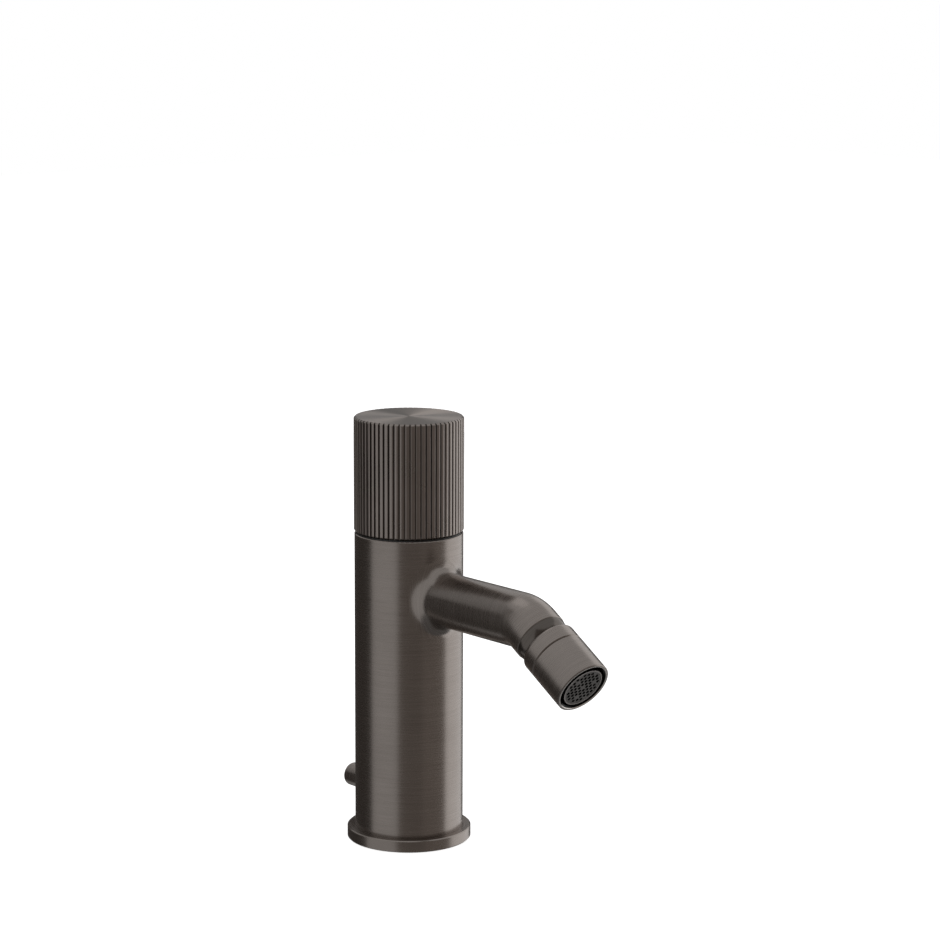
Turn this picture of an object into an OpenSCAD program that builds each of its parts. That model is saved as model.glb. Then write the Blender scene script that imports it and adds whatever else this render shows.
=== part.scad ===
// Bidet mixer: a round column with one turning knob on top, a short bent spout with a
// ball-jointed nozzle, and a small knob behind the foot that lifts the waste plug.
// Millimetres. Z is up, the deck is z = 0, the spout points along -Y, and the origin is the
// middle of the column on the deck.

/* [Body] */
// Outside diameter of the column
body_d = 44; // [42:0.5:48]
// Wall of the column
body_wall = 2.2; // [1.8:0.1:2.6]
// Height of the column's top rim above the deck
body_top = 127; // [124:0.1:150]
// Chamfer on the column's top rim
body_edge = 0.3; // [0.1:0.1:0.6]
// Height of the inner lip that the valve core is drawn up against
lip_h = 5.4; // [3:0.1:6.5]
// How far that lip stands in from the wall
lip_w = 1.6; // [1:0.1:2]

/* [Base] */
// How far the foot ring stands out past the column
flange_w = 3.25; // [2.5:0.05:8]
// Height of the foot ring
flange_h = 4.9; // [3.5:0.1:8]
// Chamfer on the foot ring's top edge
flange_edge = 0.4; // [0.2:0.1:0.8]
// Thickness of the foot ring's ledge under the column
ledge_h = 1.6; // [1:0.1:2.4]
// How far the ledge stands in past the column's wall
ledge_w = 1.3; // [0.8:0.1:1.6]
// Width of the gasket in the foot ring's underside
gasket_w = 3; // [2:0.1:3.4]
// Height of that gasket
gasket_h = 0.9; // [0.6:0.1:1]
// Height of the base block inside the column
block_h = 14; // [13:0.5:14]
// Radius of the two hose threads, M10 x 1
inlet_r = 5; // [4.5:0.1:5.3]
// Depth of the hose threads
inlet_depth = 9; // [7:0.5:9.5]
// Distance of each hose thread to the side of the middle
inlet_x = 7.5; // [7.4:0.1:7.8]
// Distance of the hose threads in front of the middle
inlet_y = 3; // [2.5:0.1:3.5]
// Radius of the fixing stud's thread, M8
stud_r = 4; // [3:0.1:4.5]
// Depth of the stud's thread
stud_depth = 10; // [7:0.5:11]
// Width of brass left in front of the stud's thread, at the ledge
stud_edge = 3; // [2:0.1:3.2]
// Radius of the tie rods that draw the core down
tie_r = 2; // [1.5:0.1:2.2]
// Radius of the tie rods' heads
tie_head_r = 3.4; // [3:0.1:3.6]
// Height of the tie rods' heads
tie_head_h = 3; // [2:0.5:4]
// Width of brass left outside the tie rods' heads
tie_edge = 1.1; // [0.8:0.1:1.6]
// Place of the tie rods, as an angle behind the X axis
tie_angle = 30; // [26:1:33]

/* [Water ways] */
// Outside radius of an inlet tube
tube_r = 4; // [3.6:0.1:4.1]
// Wall of an inlet tube
tube_wall = 1; // [0.6:0.1:1.2]
// Depth of a tube's seat in the block and in the core
tube_seat = 3.5; // [3.2:0.1:4]
// Thickness of the small sealing rings on the tubes
small_ring_t = 1.5; // [1.2:0.1:1.6]
// Height of the valve core below the cartridge
core_foot = 27; // [26:0.5:32]
// Thickness of the two large sealing rings round the core
core_ring_t = 2.2; // [1.6:0.1:2.4]
// Radius of the side port from the core into the spout
port_r = 3.9; // [3:0.1:4]
// Radius of the two channels from the tubes up to the cartridge
channel_r = 2.6; // [2:0.1:2.8]
// Radius of the outlet under the cartridge
outlet_r = 3; // [2.4:0.1:3.1]
// Distance of the side port's middle below the cartridge
port_drop = 8; // [7.8:0.1:9]

/* [Cartridge] */
// Depth of the cartridge's floor below the column's lip
cart_depth = 15; // [14:0.1:15.5]
// Radius of the cartridge's housing
cartridge_r = 12.5; // [12.4:0.1:12.8]
// Height of the cartridge's base plate
cart_base_h = 3.5; // [2.5:0.1:4]
// Thickness of each ceramic disc
disc_h = 3; // [2.4:0.1:3.2]
// Radius of the ceramic discs
disc_r = 10.4; // [10:0.1:10.5]
// Radius of the two inlet holes in the discs
inlet_hole_r = 2.2; // [1.8:0.1:2.3]
// Distance of each inlet hole to the side of the middle
inlet_hole_x = 6.6; // [6.5:0.1:7]
// Distance of the inlet holes in front of the middle
inlet_hole_y = 2.9; // [2.6:0.1:3.2]
// Width of the seals round the holes
port_seal_w = 0.8; // [0.5:0.05:0.9]
// Height of those seals
port_seal_h = 1; // [0.8:0.1:1.6]
// Gap left between the two lapped discs
disc_gap = 0.05; // [0.02:0.01:0.1]
// Height of the driver on top of the moving disc
driver_h = 3.4; // [3:0.1:3.6]
// Height of the spindle's round foot
foot_h = 2; // [1.6:0.1:2.2]
// Height of the stop ring and of the spindle's stop lug
stop_h = 2.2; // [1.6:0.1:2.4]
// Turn of the knob from shut to full hot, in degrees
knob_turn = 120; // [90:5:140]
// Width of the fixed stop tab, in degrees
stop_tab = 50; // [30:5:60]
// Radius of the spindle where it leaves the housing
spindle_r = 5; // [4.4:0.1:5.2]
// Width across the flats of the spindle's square end
spindle_sq = 6.8; // [6:0.1:6.8]
// Length of the square end
spindle_sq_h = 9; // [7:0.5:9.5]
// Height of the housing's roof
roof_h = 5.5; // [5:0.1:6]
// Height of the housing's clamping rim
clamp_h = 2; // [1.6:0.1:2.4]
// How far the clamping rim stands out
clamp_w = 1.6; // [1.2:0.1:2]
// Height of the cartridge nut
nut_h = 8.5; // [7:0.5:9]
// Wall of the nut
nut_wall = 3.6; // [3:0.1:4]
// Height of the core's neck inside the knob
neck_h = 6.6; // [5:0.1:7]
// Gap between that neck and the column's lip
neck_gap = 0.6; // [0.4:0.1:1]

/* [Knob] */
// How far the ribs stand out past the column
knob_over = 0.2; // [0:0.05:1]
// Height of the knob
knob_h = 46.5; // [42:0.1:60]
// Gap between the knob and the column
knob_gap = 0.8; // [0.6:0.1:1.4]
// Number of ribs
ribs = 64; // [48:1:70]
// Width of each rib
rib_w = 1.6; // [1.2:0.05:1.7]
// Radius of each rib's round crest
rib_crest = 3; // [1:0.1:6]
// How far the ribs stand out of the knob's skin
rib_out = 1; // [0.5:0.05:1.2]
// Turn of the first rib from the +X axis, in degrees
rib_turn = -1.1; // [-2.8:0.1:2.8]
// Chamfer at the knob's two ends
knob_edge = 0.65; // [0.4:0.05:1.1]
// Wall of the knob's skirt, under the ribs
skirt_wall = 2; // [1.6:0.05:2.4]
// How much thicker the wall is above the adapter
wall_step = 1.7; // [0.8:0.1:3]
// Thickness of the knob's top
knob_cap = 4; // [2.5:0.1:6]
// Height of the glide ring in the gap
glide_h = 0.5; // [0.3:0.05:0.5]
// How far the glide ring stands in from the column's skin
glide_in = 0.8; // [0.5:0.1:1.2]
// Height of the adapter's disc
adapter_h = 6.5; // [5.5:0.1:8]
// Radius of the adapter's hub
hub_r = 8; // [7:0.1:9.4]
// Thickness of the web between the spindle and the screw's head
hub_web = 2; // [1.5:0.1:2.4]
// Radius of the screw that holds the adapter, M4
screw_r = 1.95; // [1.4:0.05:2]
// Radius of that screw's head
screw_head_r = 3.6; // [3.2:0.1:4]
// Height of that screw's head
screw_head_h = 2.6; // [2:0.1:3]
// Length of that screw in the spindle
screw_l = 8; // [6:0.5:9]
// Radius of the knob's set screw, M4
grub_r = 2; // [1.5:0.1:2.3]
// Length of the set screw
grub_l = 4.2; // [3.5:0.1:4.4]

/* [Spout] */
// Outside diameter of the spout tube
spout_d = 21.8; // [20:0.2:22]
// Wall of the spout tube
spout_wall = 1.8; // [1.6:0.1:2.2]
// Height of the spout's level stretch below the column's top rim
spout_drop = 24; // [23.5:0.1:25]
// Reach of the bend's corner point from the column's middle
spout_reach = 73; // [60:0.5:110]
// Angle of the spout's end below level, in degrees
spout_angle = 31.5; // [20:0.5:40]
// Radius of the bend, at the tube's middle
bend_r = 15.5; // [14:0.5:18]
// Length from the bend's corner point to the spout's end
spout_tail = 9.45; // [8.5:0.05:14]
// Chamfer on the spout's end
spout_edge = 0.3; // [0.1:0.05:0.5]
// Radius of the rounded corner between column and spout, over and under the spout
root_r = 5.6; // [3:0.1:6]
// How much larger that radius is at the spout's two sides
root_more = 4.4; // [0:0.1:5]

/* [Nozzle] */
// Diameter of the nozzle
nozzle_d = 23.2; // [23:0.1:25]
// Radius of the fixed ball
ball_r = 10.7; // [10.5:0.05:10.8]
// Wall of the hollow ball
ball_wall = 2.7; // [2.5:0.1:2.8]
// How far the ball's middle lies inside the spout's end
ball_in = 0.45; // [0.3:0.05:1]
// Wall of the spout round the ball's spigot
socket_wall = 1.3; // [1.1:0.05:1.6]
// Thickness of the sealing ring inside the ball
swivel_ring_t = 1.44; // [1.2:0.02:1.6]
// Place of that ring, as an angle from the nozzle's axis
swivel_ring_at = 52; // [51:0.5:54]
// Length of the ball's spigot in the spout
spigot_l = 4.5; // [3:0.1:4.8]
// Tilt of the nozzle each way, in degrees
tilt = 12; // [8:0.5:12]
// Radius of the swivel stud's stem
stem_r = 3.2; // [2.8:0.05:3.25]
// Radius of the bore through the stem
stem_bore = 2.1; // [1.6:0.05:2.2]
// Thickness of the stud's dish
dish_t = 1.9; // [1.2:0.1:2.2]
// Thickness of the slip liner between ball and collar
liner_t = 0.3; // [0.25:0.05:0.35]
// Where the liner begins, as an angle from the nozzle's axis
liner_from = 32; // [28:1:36]
// Where the liner ends, as an angle from the nozzle's axis
liner_to = 50; // [44:1:51]
// Length of the collar from its top rim to the seam
collar_l = 7; // [6.4:0.1:9]
// Distance of the collar's top rim past the ball's middle
collar_at = 4.9; // [4.7:0.1:5.6]
// Round on the collar's top edge
collar_round = 1.4; // [0.8:0.1:1.5]
// Length of the sleeve from the seam to the tip
sleeve_l = 17.2; // [15:0.1:22]
// Wall of the sleeve at the tip
sleeve_wall = 1.8; // [1.5:0.1:2]
// Depth of the V seam
seam = 0.4; // [0.1:0.05:0.6]
// Chamfer inside the tip
tip_edge = 0.8; // [0.4:0.1:1]
// Height of the nut on the stud
stud_nut_h = 2.5; // [2:0.1:2.9]
// Width across the corners of that nut
stud_nut_d = 9.6; // [9:0.1:10.4]
// Thickness of the aerator's washer
washer_h = 1.5; // [1:0.1:2]
// How far the aerator lies inside the tip
aerator_in = 0.2; // [0:0.1:2]
// Width of the dark gap round the aerator
aerator_gap = 1.1; // [1:0.1:1.7]
// Thickness of the aerator's rim
aerator_rim = 0.55; // [0.5:0.05:0.9]
// Length of the aerator's thread
aerator_thread = 4.5; // [3.5:0.1:6]
// Thickness of a screen
screen_t = 0.5; // [0.4:0.05:0.8]
// Distance between the holes of the grid
grid_pitch = 1.9; // [1.8:0.05:2.2]
// Width of a hole of the grid across its corners
grid_hole = 1.55; // [0.9:0.05:1.6]
// Turn of the hole pattern about the nozzle, in degrees
grid_turn = 1.6; // [0:0.2:60]
// Thickness of the grid
grid_h = 1.5; // [1:0.1:2]

/* [Drain control] */
// Height of the knob's middle above the deck
drain_z = 17.5; // [17.2:0.1:18]
// Travel of the knob from down to up
drain_travel = 15; // [10:0.5:20]
// Diameter of the drain knob
drain_d = 9.6; // [8:0.2:12]
// Length of the drain knob
drain_l = 15.2; // [10:0.1:20]
// Gap between the drain knob and the column
drain_gap = 0.7; // [0.5:0.1:1]
// Chamfer on the drain knob's end
drain_edge = 0.5; // [0.2:0.1:0.8]
// Radius of the pin
pin_r = 2; // [1.6:0.1:2.2]
// Wall of the plastic guide in the slot
guide_wall = 1.05; // [0.8:0.05:1.3]
// Radius of the lift rod's thread in the carriage, M5
rod_r = 2.5; // [2:0.1:2.7]
// Depth of the lift rod's thread
rod_depth = 10; // [7:0.5:11]
// Distance of the lift rod's middle from the column's bore
rod_in = 8.3; // [8.2:0.1:9]
// Width of the plastic rod guide in the block
rod_guide_w = 15; // [13:0.5:15.5]
// Width of the carriage
carriage_w = 10; // [9:0.5:10.5]
// Height of the carriage
carriage_h = 12.6; // [11.6:0.1:14]

/* [Clearances] */
// Radial clearance where fixed pieces fit into each other
seat = 0.05; // [0.02:0.01:0.08]
// Radial clearance of the running fits
run = 0.08; // [0.05:0.01:0.1]
// Gap between pieces that pass each other
pass = 0.3; // [0.25:0.05:0.4]

/* [Hidden] */
$fn = 96;
e = 0.01;

// Cuts run this far past the faces that they open.
over = 1;
// Gap beside a sealing ring, whose squeeze isn't drawn
ring_gap = 0.02;

// Column and foot, upwards from the deck
body_r = body_d / 2;
bore_r = body_r - body_wall;
lip_r = bore_r - lip_w;
lip_z = body_top - lip_h;
flange_r = body_r + flange_w;
ledge_r = bore_r - ledge_w;
gasket_r = (flange_r + ledge_r) / 2;
seat_z = block_h - tube_seat;
stud_y = ledge_r - stud_r - stud_edge;
rod_y = bore_r - rod_in;
tie_at = ledge_r - tie_head_r - tie_edge;
tie_x = tie_at * cos(tie_angle);
tie_y = tie_at * sin(tie_angle);
spout_z = body_top - spout_drop;
spout_r = spout_d / 2;

// Cartridge, upwards from its floor in the core
cart_z = lip_z - cart_depth;
core_z = cart_z - core_foot;
port_z = cart_z - port_drop;
base_rim = 1.2;
disc_z = cart_z + cart_base_h;
upper_z = disc_z + disc_h + disc_gap;
driver_z = upper_z + disc_h;
foot_z = driver_z + driver_h;
stop_z = foot_z + foot_h;
roof_z = stop_z + stop_h + pass;
roof_top = roof_z + roof_h;
shoulder_h = 1.5;
clamp_z = roof_z + shoulder_h;
nut_z = clamp_z + clamp_h;
housing_wall = 1.5;
housing_in = cartridge_r - housing_wall;
neck_in = cartridge_r + clamp_w + seat;
neck_r = lip_r - neck_gap;
neck_top = body_top + neck_h;
nut_in = neck_in - seat - nut_wall;
barrel_w = 1.5;
barrel_r = spindle_r + barrel_w;
stop_ring_w = 2.1;
lug_r = housing_in - stop_ring_w;
stop_margin = 2;
lug_angle = 360 - stop_tab - knob_turn - 2 * stop_margin;
stop_at = 90;

// Knob, upwards from the gap over the column
knob_z = body_top + knob_gap;
knob_top = knob_z + knob_h;
knob_r = body_r + knob_over;
skin_r = knob_r - rib_out;
skirt_in = skin_r - skirt_wall;
adapter_z = nut_z + nut_h + pass;
adapter_top = adapter_z + adapter_h;
hub_z = roof_top + pass;
square_top = hub_z + spindle_sq_h;
head_z = square_top + seat + hub_web;
grub_z = adapter_z + adapter_h / 2;
grub_in = 2.4;
grub_y = skirt_in - grub_in;

// Nozzle, along its own axis from the ball's middle
nozzle_r = nozzle_d / 2;
socket_r = spout_r - socket_wall;
bend_l = bend_r * tan(spout_angle / 2);
ball_s = spout_tail - ball_in;
ball_y = -spout_reach - ball_s * cos(spout_angle);
ball_z = spout_z - ball_s * sin(spout_angle);
ball_bore = ball_r - ball_wall;
window_margin = 2.4;
window = asin(stem_r / ball_bore) + tilt * sqrt(2) + window_margin;
dish_r = ball_bore - run;
swivel_ring_r = ball_bore + swivel_ring_t / 2 - ring_gap;
liner_r = ball_r + run;
cup_r = liner_r + liner_t + run;
seam_t = collar_at + collar_l;
tip_t = seam_t + sleeve_l;
chamber_r = nozzle_r - sleeve_wall;
collar_thread_w = 0.4;
collar_thread_r = chamber_r + collar_thread_w;
web_w = 1.7;
web_t = cup_r + web_w;
spigot_out = 4.1;
spigot_end = seam_t + spigot_out;
cage_t = spigot_end + washer_h;
cage_end = tip_t - aerator_in;
cage_r = chamber_r - aerator_gap;
cage_in = cage_r - aerator_rim;
thread_in = 0.3;
thread_r = stem_r - thread_in;
stud_over = 1.6;
stud_end = web_t + stud_nut_h + stud_over;
grid_in = 0.1;
grid_end = cage_end - grid_in;

// Drain control, outwards from the column's middle
rod_guide_skin = 3.2;
pin_skin = 0.6;
carriage_skin = 1.2;
pin_in = rod_y + rod_r + pin_skin;
pin_out = body_r + drain_gap + drain_l / 2;
rod_guide_y = rod_y - rod_r - rod_guide_skin;
slot_r = pin_r + pass;
guide_r = slot_r + guide_wall;
carriage_z = block_h + pass;
carriage_y = rod_y - rod_r - carriage_skin;

gunmetal = "#5d5a57";
brass = "#b8975a";
steel = "#b4b6b8";
ceramic = "#efeee8";
acetal = "#d9d6cc";
rubber = "#242424";

// A ring standing on z = 0
module ring(outer, inner, h) {
    difference() {
        cylinder(r = outer, h = h);
        translate([0, 0, -over]) cylinder(r = inner, h = h + 2 * over);
    }
}

// A sealing ring round the Z axis, its middle line on z = 0
module o_ring(middle, thick) {
    rotate_extrude() translate([middle, 0]) circle(d = thick, $fn = 32);
}

// A sector of a ring, from angle a over a sweep
module sector(outer, inner, h, a, sweep) {
    rotate([0, 0, a])
        rotate_extrude(angle = sweep)
            translate([inner, 0]) square([outer - inner, h]);
}

// A hexagon socket sunk into the face z = 0 from above
module hex_socket(across, deep) {
    translate([0, 0, -deep]) cylinder(d = across, h = deep + over, $fn = 6);
}

// Copies at both sides of the middle plane
module both(x, y) {
    for (side = [-1, 1])
        translate([side * x, y, 0]) children();
}

// The nozzle's frame: its middle is the ball's, and its Z axis runs out of the spout
module at_nozzle() {
    translate([0, ball_y, ball_z]) rotate([90 + spout_angle, 0, 0]) children();
}

// A round bar along the spout's middle line, out to a distance past the ball's middle. Its
// last straight stretch begins inside the bend and differs from it by a hair, so that the
// two overlap without touching along their skins.
tail_lap = 0.3;
tail_hair = 0.02;
module spout_bar(r, past, hair) {
    translate([0, 0, spout_z]) rotate([90, 0, 0]) cylinder(r = r, h = spout_reach - bend_l);
    translate([0, -(spout_reach - bend_l), spout_z - bend_r])
        rotate([180, -90, 0])
            rotate_extrude(angle = spout_angle)
                translate([bend_r, 0]) circle(r = r);
    at_nozzle()
        translate([0, 0, bend_l - ball_s - tail_lap])
            cylinder(r = r - hair, h = ball_s - bend_l + tail_lap + past);
}

// The rounded corner between column and spout, swept round the spout. A ball rolls along
// both and grows towards the sides; each section is its arc, closed inside the walls.
root_steps = 48;
root_arc = 6;
root_sink = 0.12;
function root(a) = root_r + root_more * pow(sin(a), 2);
function root_mid(a) =
    let (g = spout_r + root(a) - root_sink, x = g * sin(a))
    [x, -sqrt(pow(body_r + root(a) - root_sink, 2) - x * x), g * cos(a)];
function unit(v) = v / norm(v);
function root_section(a) =
    let (m = root_mid(a),
         to_spout = [-sin(a), 0, -cos(a)],
         to_body = -unit([m[0], m[1], 0]),
         sweep = acos(to_spout * to_body),
         inner_r = spout_r - 0.9,
         x = inner_r * sin(a))
    concat(
        [m + to_spout * (root(a) + 0.5)],
        [for (i = [0 : root_arc])
            m + root(a) * (to_spout * sin(sweep * (1 - i / root_arc))
                + to_body * sin(sweep * i / root_arc)) / sin(sweep)],
        [m + to_body * (root(a) + 0.5)],
        [[x, -sqrt(pow(body_r - 1.1, 2) - x * x), inner_r * cos(a)]]);
module root_round() {
    sections = [for (i = [0 : root_steps - 1]) root_section(360 * i / root_steps)];
    count = len(sections[0]);
    points = [for (section = sections) for (p = section) p];
    faces = [for (i = [0 : root_steps - 1]) for (j = [0 : count - 1])
        let (a = i * count + j,
             b = i * count + (j + 1) % count,
             c = ((i + 1) % root_steps) * count + (j + 1) % count,
             d = ((i + 1) % root_steps) * count + j)
        for (face = [[a, b, c], [a, c, d]]) face];
    translate([0, 0, spout_z]) polyhedron(points, faces);
}

// Column, with the water's way into the spout and the slot for the drain control
module column() {
    color(gunmetal) difference() {
        union() {
            translate([0, 0, ledge_h]) cylinder(r = body_r, h = body_top - body_edge - ledge_h);
            translate([0, 0, body_top - body_edge])
                cylinder(r1 = body_r, r2 = body_r - body_edge, h = body_edge);
        }
        translate([0, 0, ledge_h - over]) cylinder(r = bore_r, h = lip_z - ledge_h + over);
        translate([0, 0, lip_z - over]) cylinder(r = lip_r, h = lip_h + 2 * over);
        translate([0, 0, spout_z]) rotate([90, 0, 0])
            cylinder(r = spout_r - spout_wall, h = body_r + over);
        drain_slot(guide_r + seat, bore_r - 2 * over, body_r + over);
    }
}

// Spout, brazed to the column, with its rounded root and the socket for the ball
module spout() {
    color(gunmetal) difference() {
        union() {
            spout_bar(spout_r, ball_in - spout_edge, tail_hair);
            at_nozzle()
                translate([0, 0, ball_in - spout_edge])
                    cylinder(r1 = spout_r - tail_hair, r2 = spout_r - spout_edge, h = spout_edge);
            root_round();
        }
        cylinder(r = body_r, h = body_top);
        spout_bar(spout_r - spout_wall, over, -tail_hair);
        at_nozzle()
            translate([0, 0, ball_in - spigot_l])
                cylinder(r = socket_r, h = spigot_l + over);
    }
}

// A slot with round ends through the back of the column, from one radius to another
module drain_slot(half, from, to) {
    translate([0, to, 0]) rotate([90, 0, 0]) linear_extrude(to - from) {
        translate([0, drain_z]) circle(r = half);
        translate([0, drain_z + drain_travel]) circle(r = half);
        translate([-half, drain_z]) square([2 * half, drain_travel]);
    }
}

// Foot ring with a ledge under the column and a groove for the gasket
module base_flange() {
    color(gunmetal) rotate_extrude() difference() {
        polygon([
            [ledge_r, 0], [flange_r - flange_edge, 0], [flange_r, flange_edge],
            [flange_r, flange_h - flange_edge], [flange_r - flange_edge, flange_h],
            [body_r + seat, flange_h], [body_r + seat, ledge_h], [ledge_r, ledge_h]
        ]);
        translate([gasket_r - gasket_w / 2, -over]) square([gasket_w, gasket_h + over]);
    }
}

// Flat gasket between the foot ring and the deck
module base_gasket() {
    color(rubber) ring(gasket_r + gasket_w / 2 - seat, gasket_r - gasket_w / 2 + seat, gasket_h);
}

// Brass block with the hose threads, the stud's thread and the passages
module base_block() {
    color(brass) difference() {
        union() {
            cylinder(r = ledge_r - seat, h = ledge_h + seat);
            translate([0, 0, ledge_h]) cylinder(r = bore_r - seat, h = block_h - ledge_h);
        }
        both(inlet_x, -inlet_y) {
            translate([0, 0, -over]) cylinder(r = inlet_r, h = inlet_depth + over);
            cylinder(r = tube_r - tube_wall, h = block_h + over);
            translate([0, 0, seat_z]) cylinder(r = tube_r + seat, h = tube_seat + over);
            translate([0, 0, seat_z + tube_seat / 2])
                translate([0, 0, -small_ring_t / 2 - seat])
                    cylinder(r = tube_r + small_ring_t, h = small_ring_t + 2 * seat);
        }
        translate([0, -stud_y, -over]) cylinder(r = stud_r, h = stud_depth + over);
        translate([-rod_guide_w / 2 - seat, rod_guide_y - seat, -over])
            cube([rod_guide_w + 2 * seat, body_r, block_h + 2 * over]);
        both(tie_x, tie_y) {
            cylinder(r = tie_r + seat, h = block_h + over);
            translate([0, 0, -over]) cylinder(r = tie_head_r + seat, h = tie_head_h + tie_in + over);
        }
    }
}

// Plastic insert at the back of the block that guides the lift rod
module rod_guide() {
    color(acetal) difference() {
        intersection() {
            translate([-rod_guide_w / 2, rod_guide_y, 0]) cube([rod_guide_w, body_r, block_h]);
            union() {
                cylinder(r = ledge_r - seat, h = ledge_h + seat);
                translate([0, 0, ledge_h]) cylinder(r = bore_r - seat, h = block_h);
            }
        }
        translate([0, rod_y, -over]) cylinder(r = rod_r + pass, h = block_h + 2 * over);
    }
}

// Two long screws that draw the core down and clamp column, ring and block together
tie_in = 0.4;
tie_grip = 10;
module tie_rods() {
    color(steel) both(tie_x, tie_y) {
        translate([0, 0, tie_in]) difference() {
            cylinder(r = tie_head_r, h = tie_head_h);
            rotate([180, 0, 0]) hex_socket(tie_head_r, tie_head_h * 0.6);
        }
        translate([0, 0, tie_in + tie_head_h])
            cylinder(r = tie_r, h = core_z + tie_grip - tie_in - tie_head_h);
    }
}

// A tube from the block up to the core
module inlet_tube() {
    translate([0, 0, seat_z]) ring(tube_r, tube_r - tube_wall, core_z + tube_seat - seat_z);
}
module cold_inlet_tube() {
    color(brass) translate([inlet_x, -inlet_y, 0]) inlet_tube();
}
module hot_inlet_tube() {
    color(brass) translate([-inlet_x, -inlet_y, 0]) inlet_tube();
}

// Four sealing rings, one at each end of each tube
module tube_o_rings() {
    color(rubber) both(inlet_x, -inlet_y)
        for (z = [seat_z + tube_seat / 2, core_z + tube_seat / 2])
            translate([0, 0, z]) o_ring(tube_r + small_ring_t / 2, small_ring_t);
}

// Brass core in the column's bore: channels up to the cartridge, the outlet and the side port
ring_over_foot = 8;
ring_under_lip = 3.4;
core_ring_low = core_z + ring_over_foot;
core_ring_high = lip_z - ring_under_lip;
core_ring_r = bore_r - core_ring_t / 2 - ring_gap;
module core_cut(z) {
    translate([0, 0, z - core_ring_t / 2 - seat])
        ring(bore_r + over, core_ring_r - core_ring_t / 2 - ring_gap, core_ring_t + 2 * seat);
}
module valve_core() {
    color(brass) difference() {
        union() {
            translate([0, 0, core_z]) cylinder(r = bore_r - seat, h = lip_z - core_z);
            translate([0, 0, lip_z - seat]) cylinder(r = lip_r - seat, h = lip_h + seat);
            translate([0, 0, body_top - seat]) cylinder(r = neck_r, h = neck_h + seat);
        }
        translate([0, 0, cart_z]) cylinder(r = cartridge_r + seat, h = neck_top - cart_z + over);
        translate([0, 0, clamp_z]) cylinder(r = neck_in, h = neck_top - clamp_z + over);
        both(inlet_x, -inlet_y) translate([0, 0, core_z]) {
            translate([0, 0, -over]) cylinder(r = tube_r + seat, h = tube_seat + over);
            cylinder(r = channel_r, h = core_foot - channel_web);
            translate([0, 0, tube_seat / 2 - small_ring_t / 2 - seat])
                cylinder(r = tube_r + small_ring_t, h = small_ring_t + 2 * seat);
        }
        both(inlet_hole_x, -inlet_hole_y)
            translate([0, 0, cart_z - 2 * channel_web])
                cylinder(r = inlet_hole_r, h = 2 * channel_web + over);
        translate([0, 0, port_z]) cylinder(r = outlet_r, h = port_drop + over);
        translate([0, 0, port_z]) sphere(r = port_r);
        translate([0, 0, port_z]) rotate([90, 0, 0]) cylinder(r = port_r, h = body_r);
        both(tie_x, tie_y)
            translate([0, 0, core_z - over]) cylinder(r = tie_r + seat, h = tie_grip + 2 * over);
        core_cut(core_ring_low);
        core_cut(core_ring_high);
    }
}
channel_web = 1.6;

// Two large sealing rings, under and over the side port
module core_o_rings() {
    color(rubber)
        for (z = [core_ring_low, core_ring_high])
            translate([0, 0, z]) o_ring(core_ring_r, core_ring_t);
}

// The three holes that all plates of the cartridge share
module port_holes(z, h, wider) {
    translate([0, 0, z]) {
        both(inlet_hole_x, -inlet_hole_y) cylinder(r = inlet_hole_r + wider, h = h);
        cylinder(r = outlet_r + wider, h = h);
    }
}

// Base plate of the cartridge, with recesses for the seals in its underside
module cartridge_base() {
    color(acetal) difference() {
        union() {
            translate([0, 0, cart_z]) cylinder(r = cartridge_r, h = base_rim);
            translate([0, 0, cart_z]) cylinder(r = housing_in - seat, h = cart_base_h);
        }
        port_holes(cart_z - over, cart_base_h + 2 * over, 0);
        port_holes(cart_z - over, port_seal_h + over, port_seal_w);
    }
}

// Three flat seals under the base plate
module port_seals() {
    color(rubber) translate([0, 0, cart_z]) {
        both(inlet_hole_x, -inlet_hole_y)
            ring(inlet_hole_r + port_seal_w - seat, inlet_hole_r, port_seal_h);
        ring(outlet_r + port_seal_w - seat, outlet_r, port_seal_h);
    }
}

// Fixed ceramic disc with two inlet holes and the outlet
module lower_disc() {
    color(ceramic) difference() {
        translate([0, 0, disc_z]) cylinder(r = disc_r, h = disc_h);
        port_holes(disc_z - over, disc_h + 2 * over, 0);
    }
}

// Moving ceramic disc: a hollow in its underside joins first one inlet and then the other
// to the outlet
arm_sweep = 45;
cold_arm = -95;
hot_arm = 95;
arm_r = norm([inlet_hole_x, inlet_hole_y]) + inlet_hole_r;
hollow_h = 1.4;
hollow_rim = 0.8;
peg_r = 1.2;
peg_h = 1.1;
peg_x = 7.6;
module upper_disc() {
    color(ceramic) difference() {
        translate([0, 0, upper_z]) cylinder(r = disc_r, h = disc_h);
        translate([0, 0, upper_z - over]) {
            cylinder(r = outlet_r, h = hollow_h + over);
            for (a = [cold_arm, hot_arm])
                sector(min(arm_r, disc_r - hollow_rim), outlet_r - hollow_rim,
                    hollow_h + over, a, arm_sweep);
        }
        both(peg_x, 0) translate([0, 0, driver_z - peg_h - seat])
            cylinder(r = peg_r + seat, h = peg_h + over);
    }
}

// Driver on the moving disc, with two pegs below and a square socket above
foot_peg = 2;
module disc_driver() {
    color(acetal) difference() {
        union() {
            translate([0, 0, driver_z]) cylinder(r = disc_r, h = driver_h);
            both(peg_x, 0) translate([0, 0, driver_z - peg_h]) cylinder(r = peg_r, h = peg_h + seat);
        }
        translate([-spindle_sq / 2 - seat, -spindle_sq / 2 - seat, foot_z - foot_peg - seat])
            cube([spindle_sq + 2 * seat, spindle_sq + 2 * seat, foot_peg + over]);
    }
}

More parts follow.
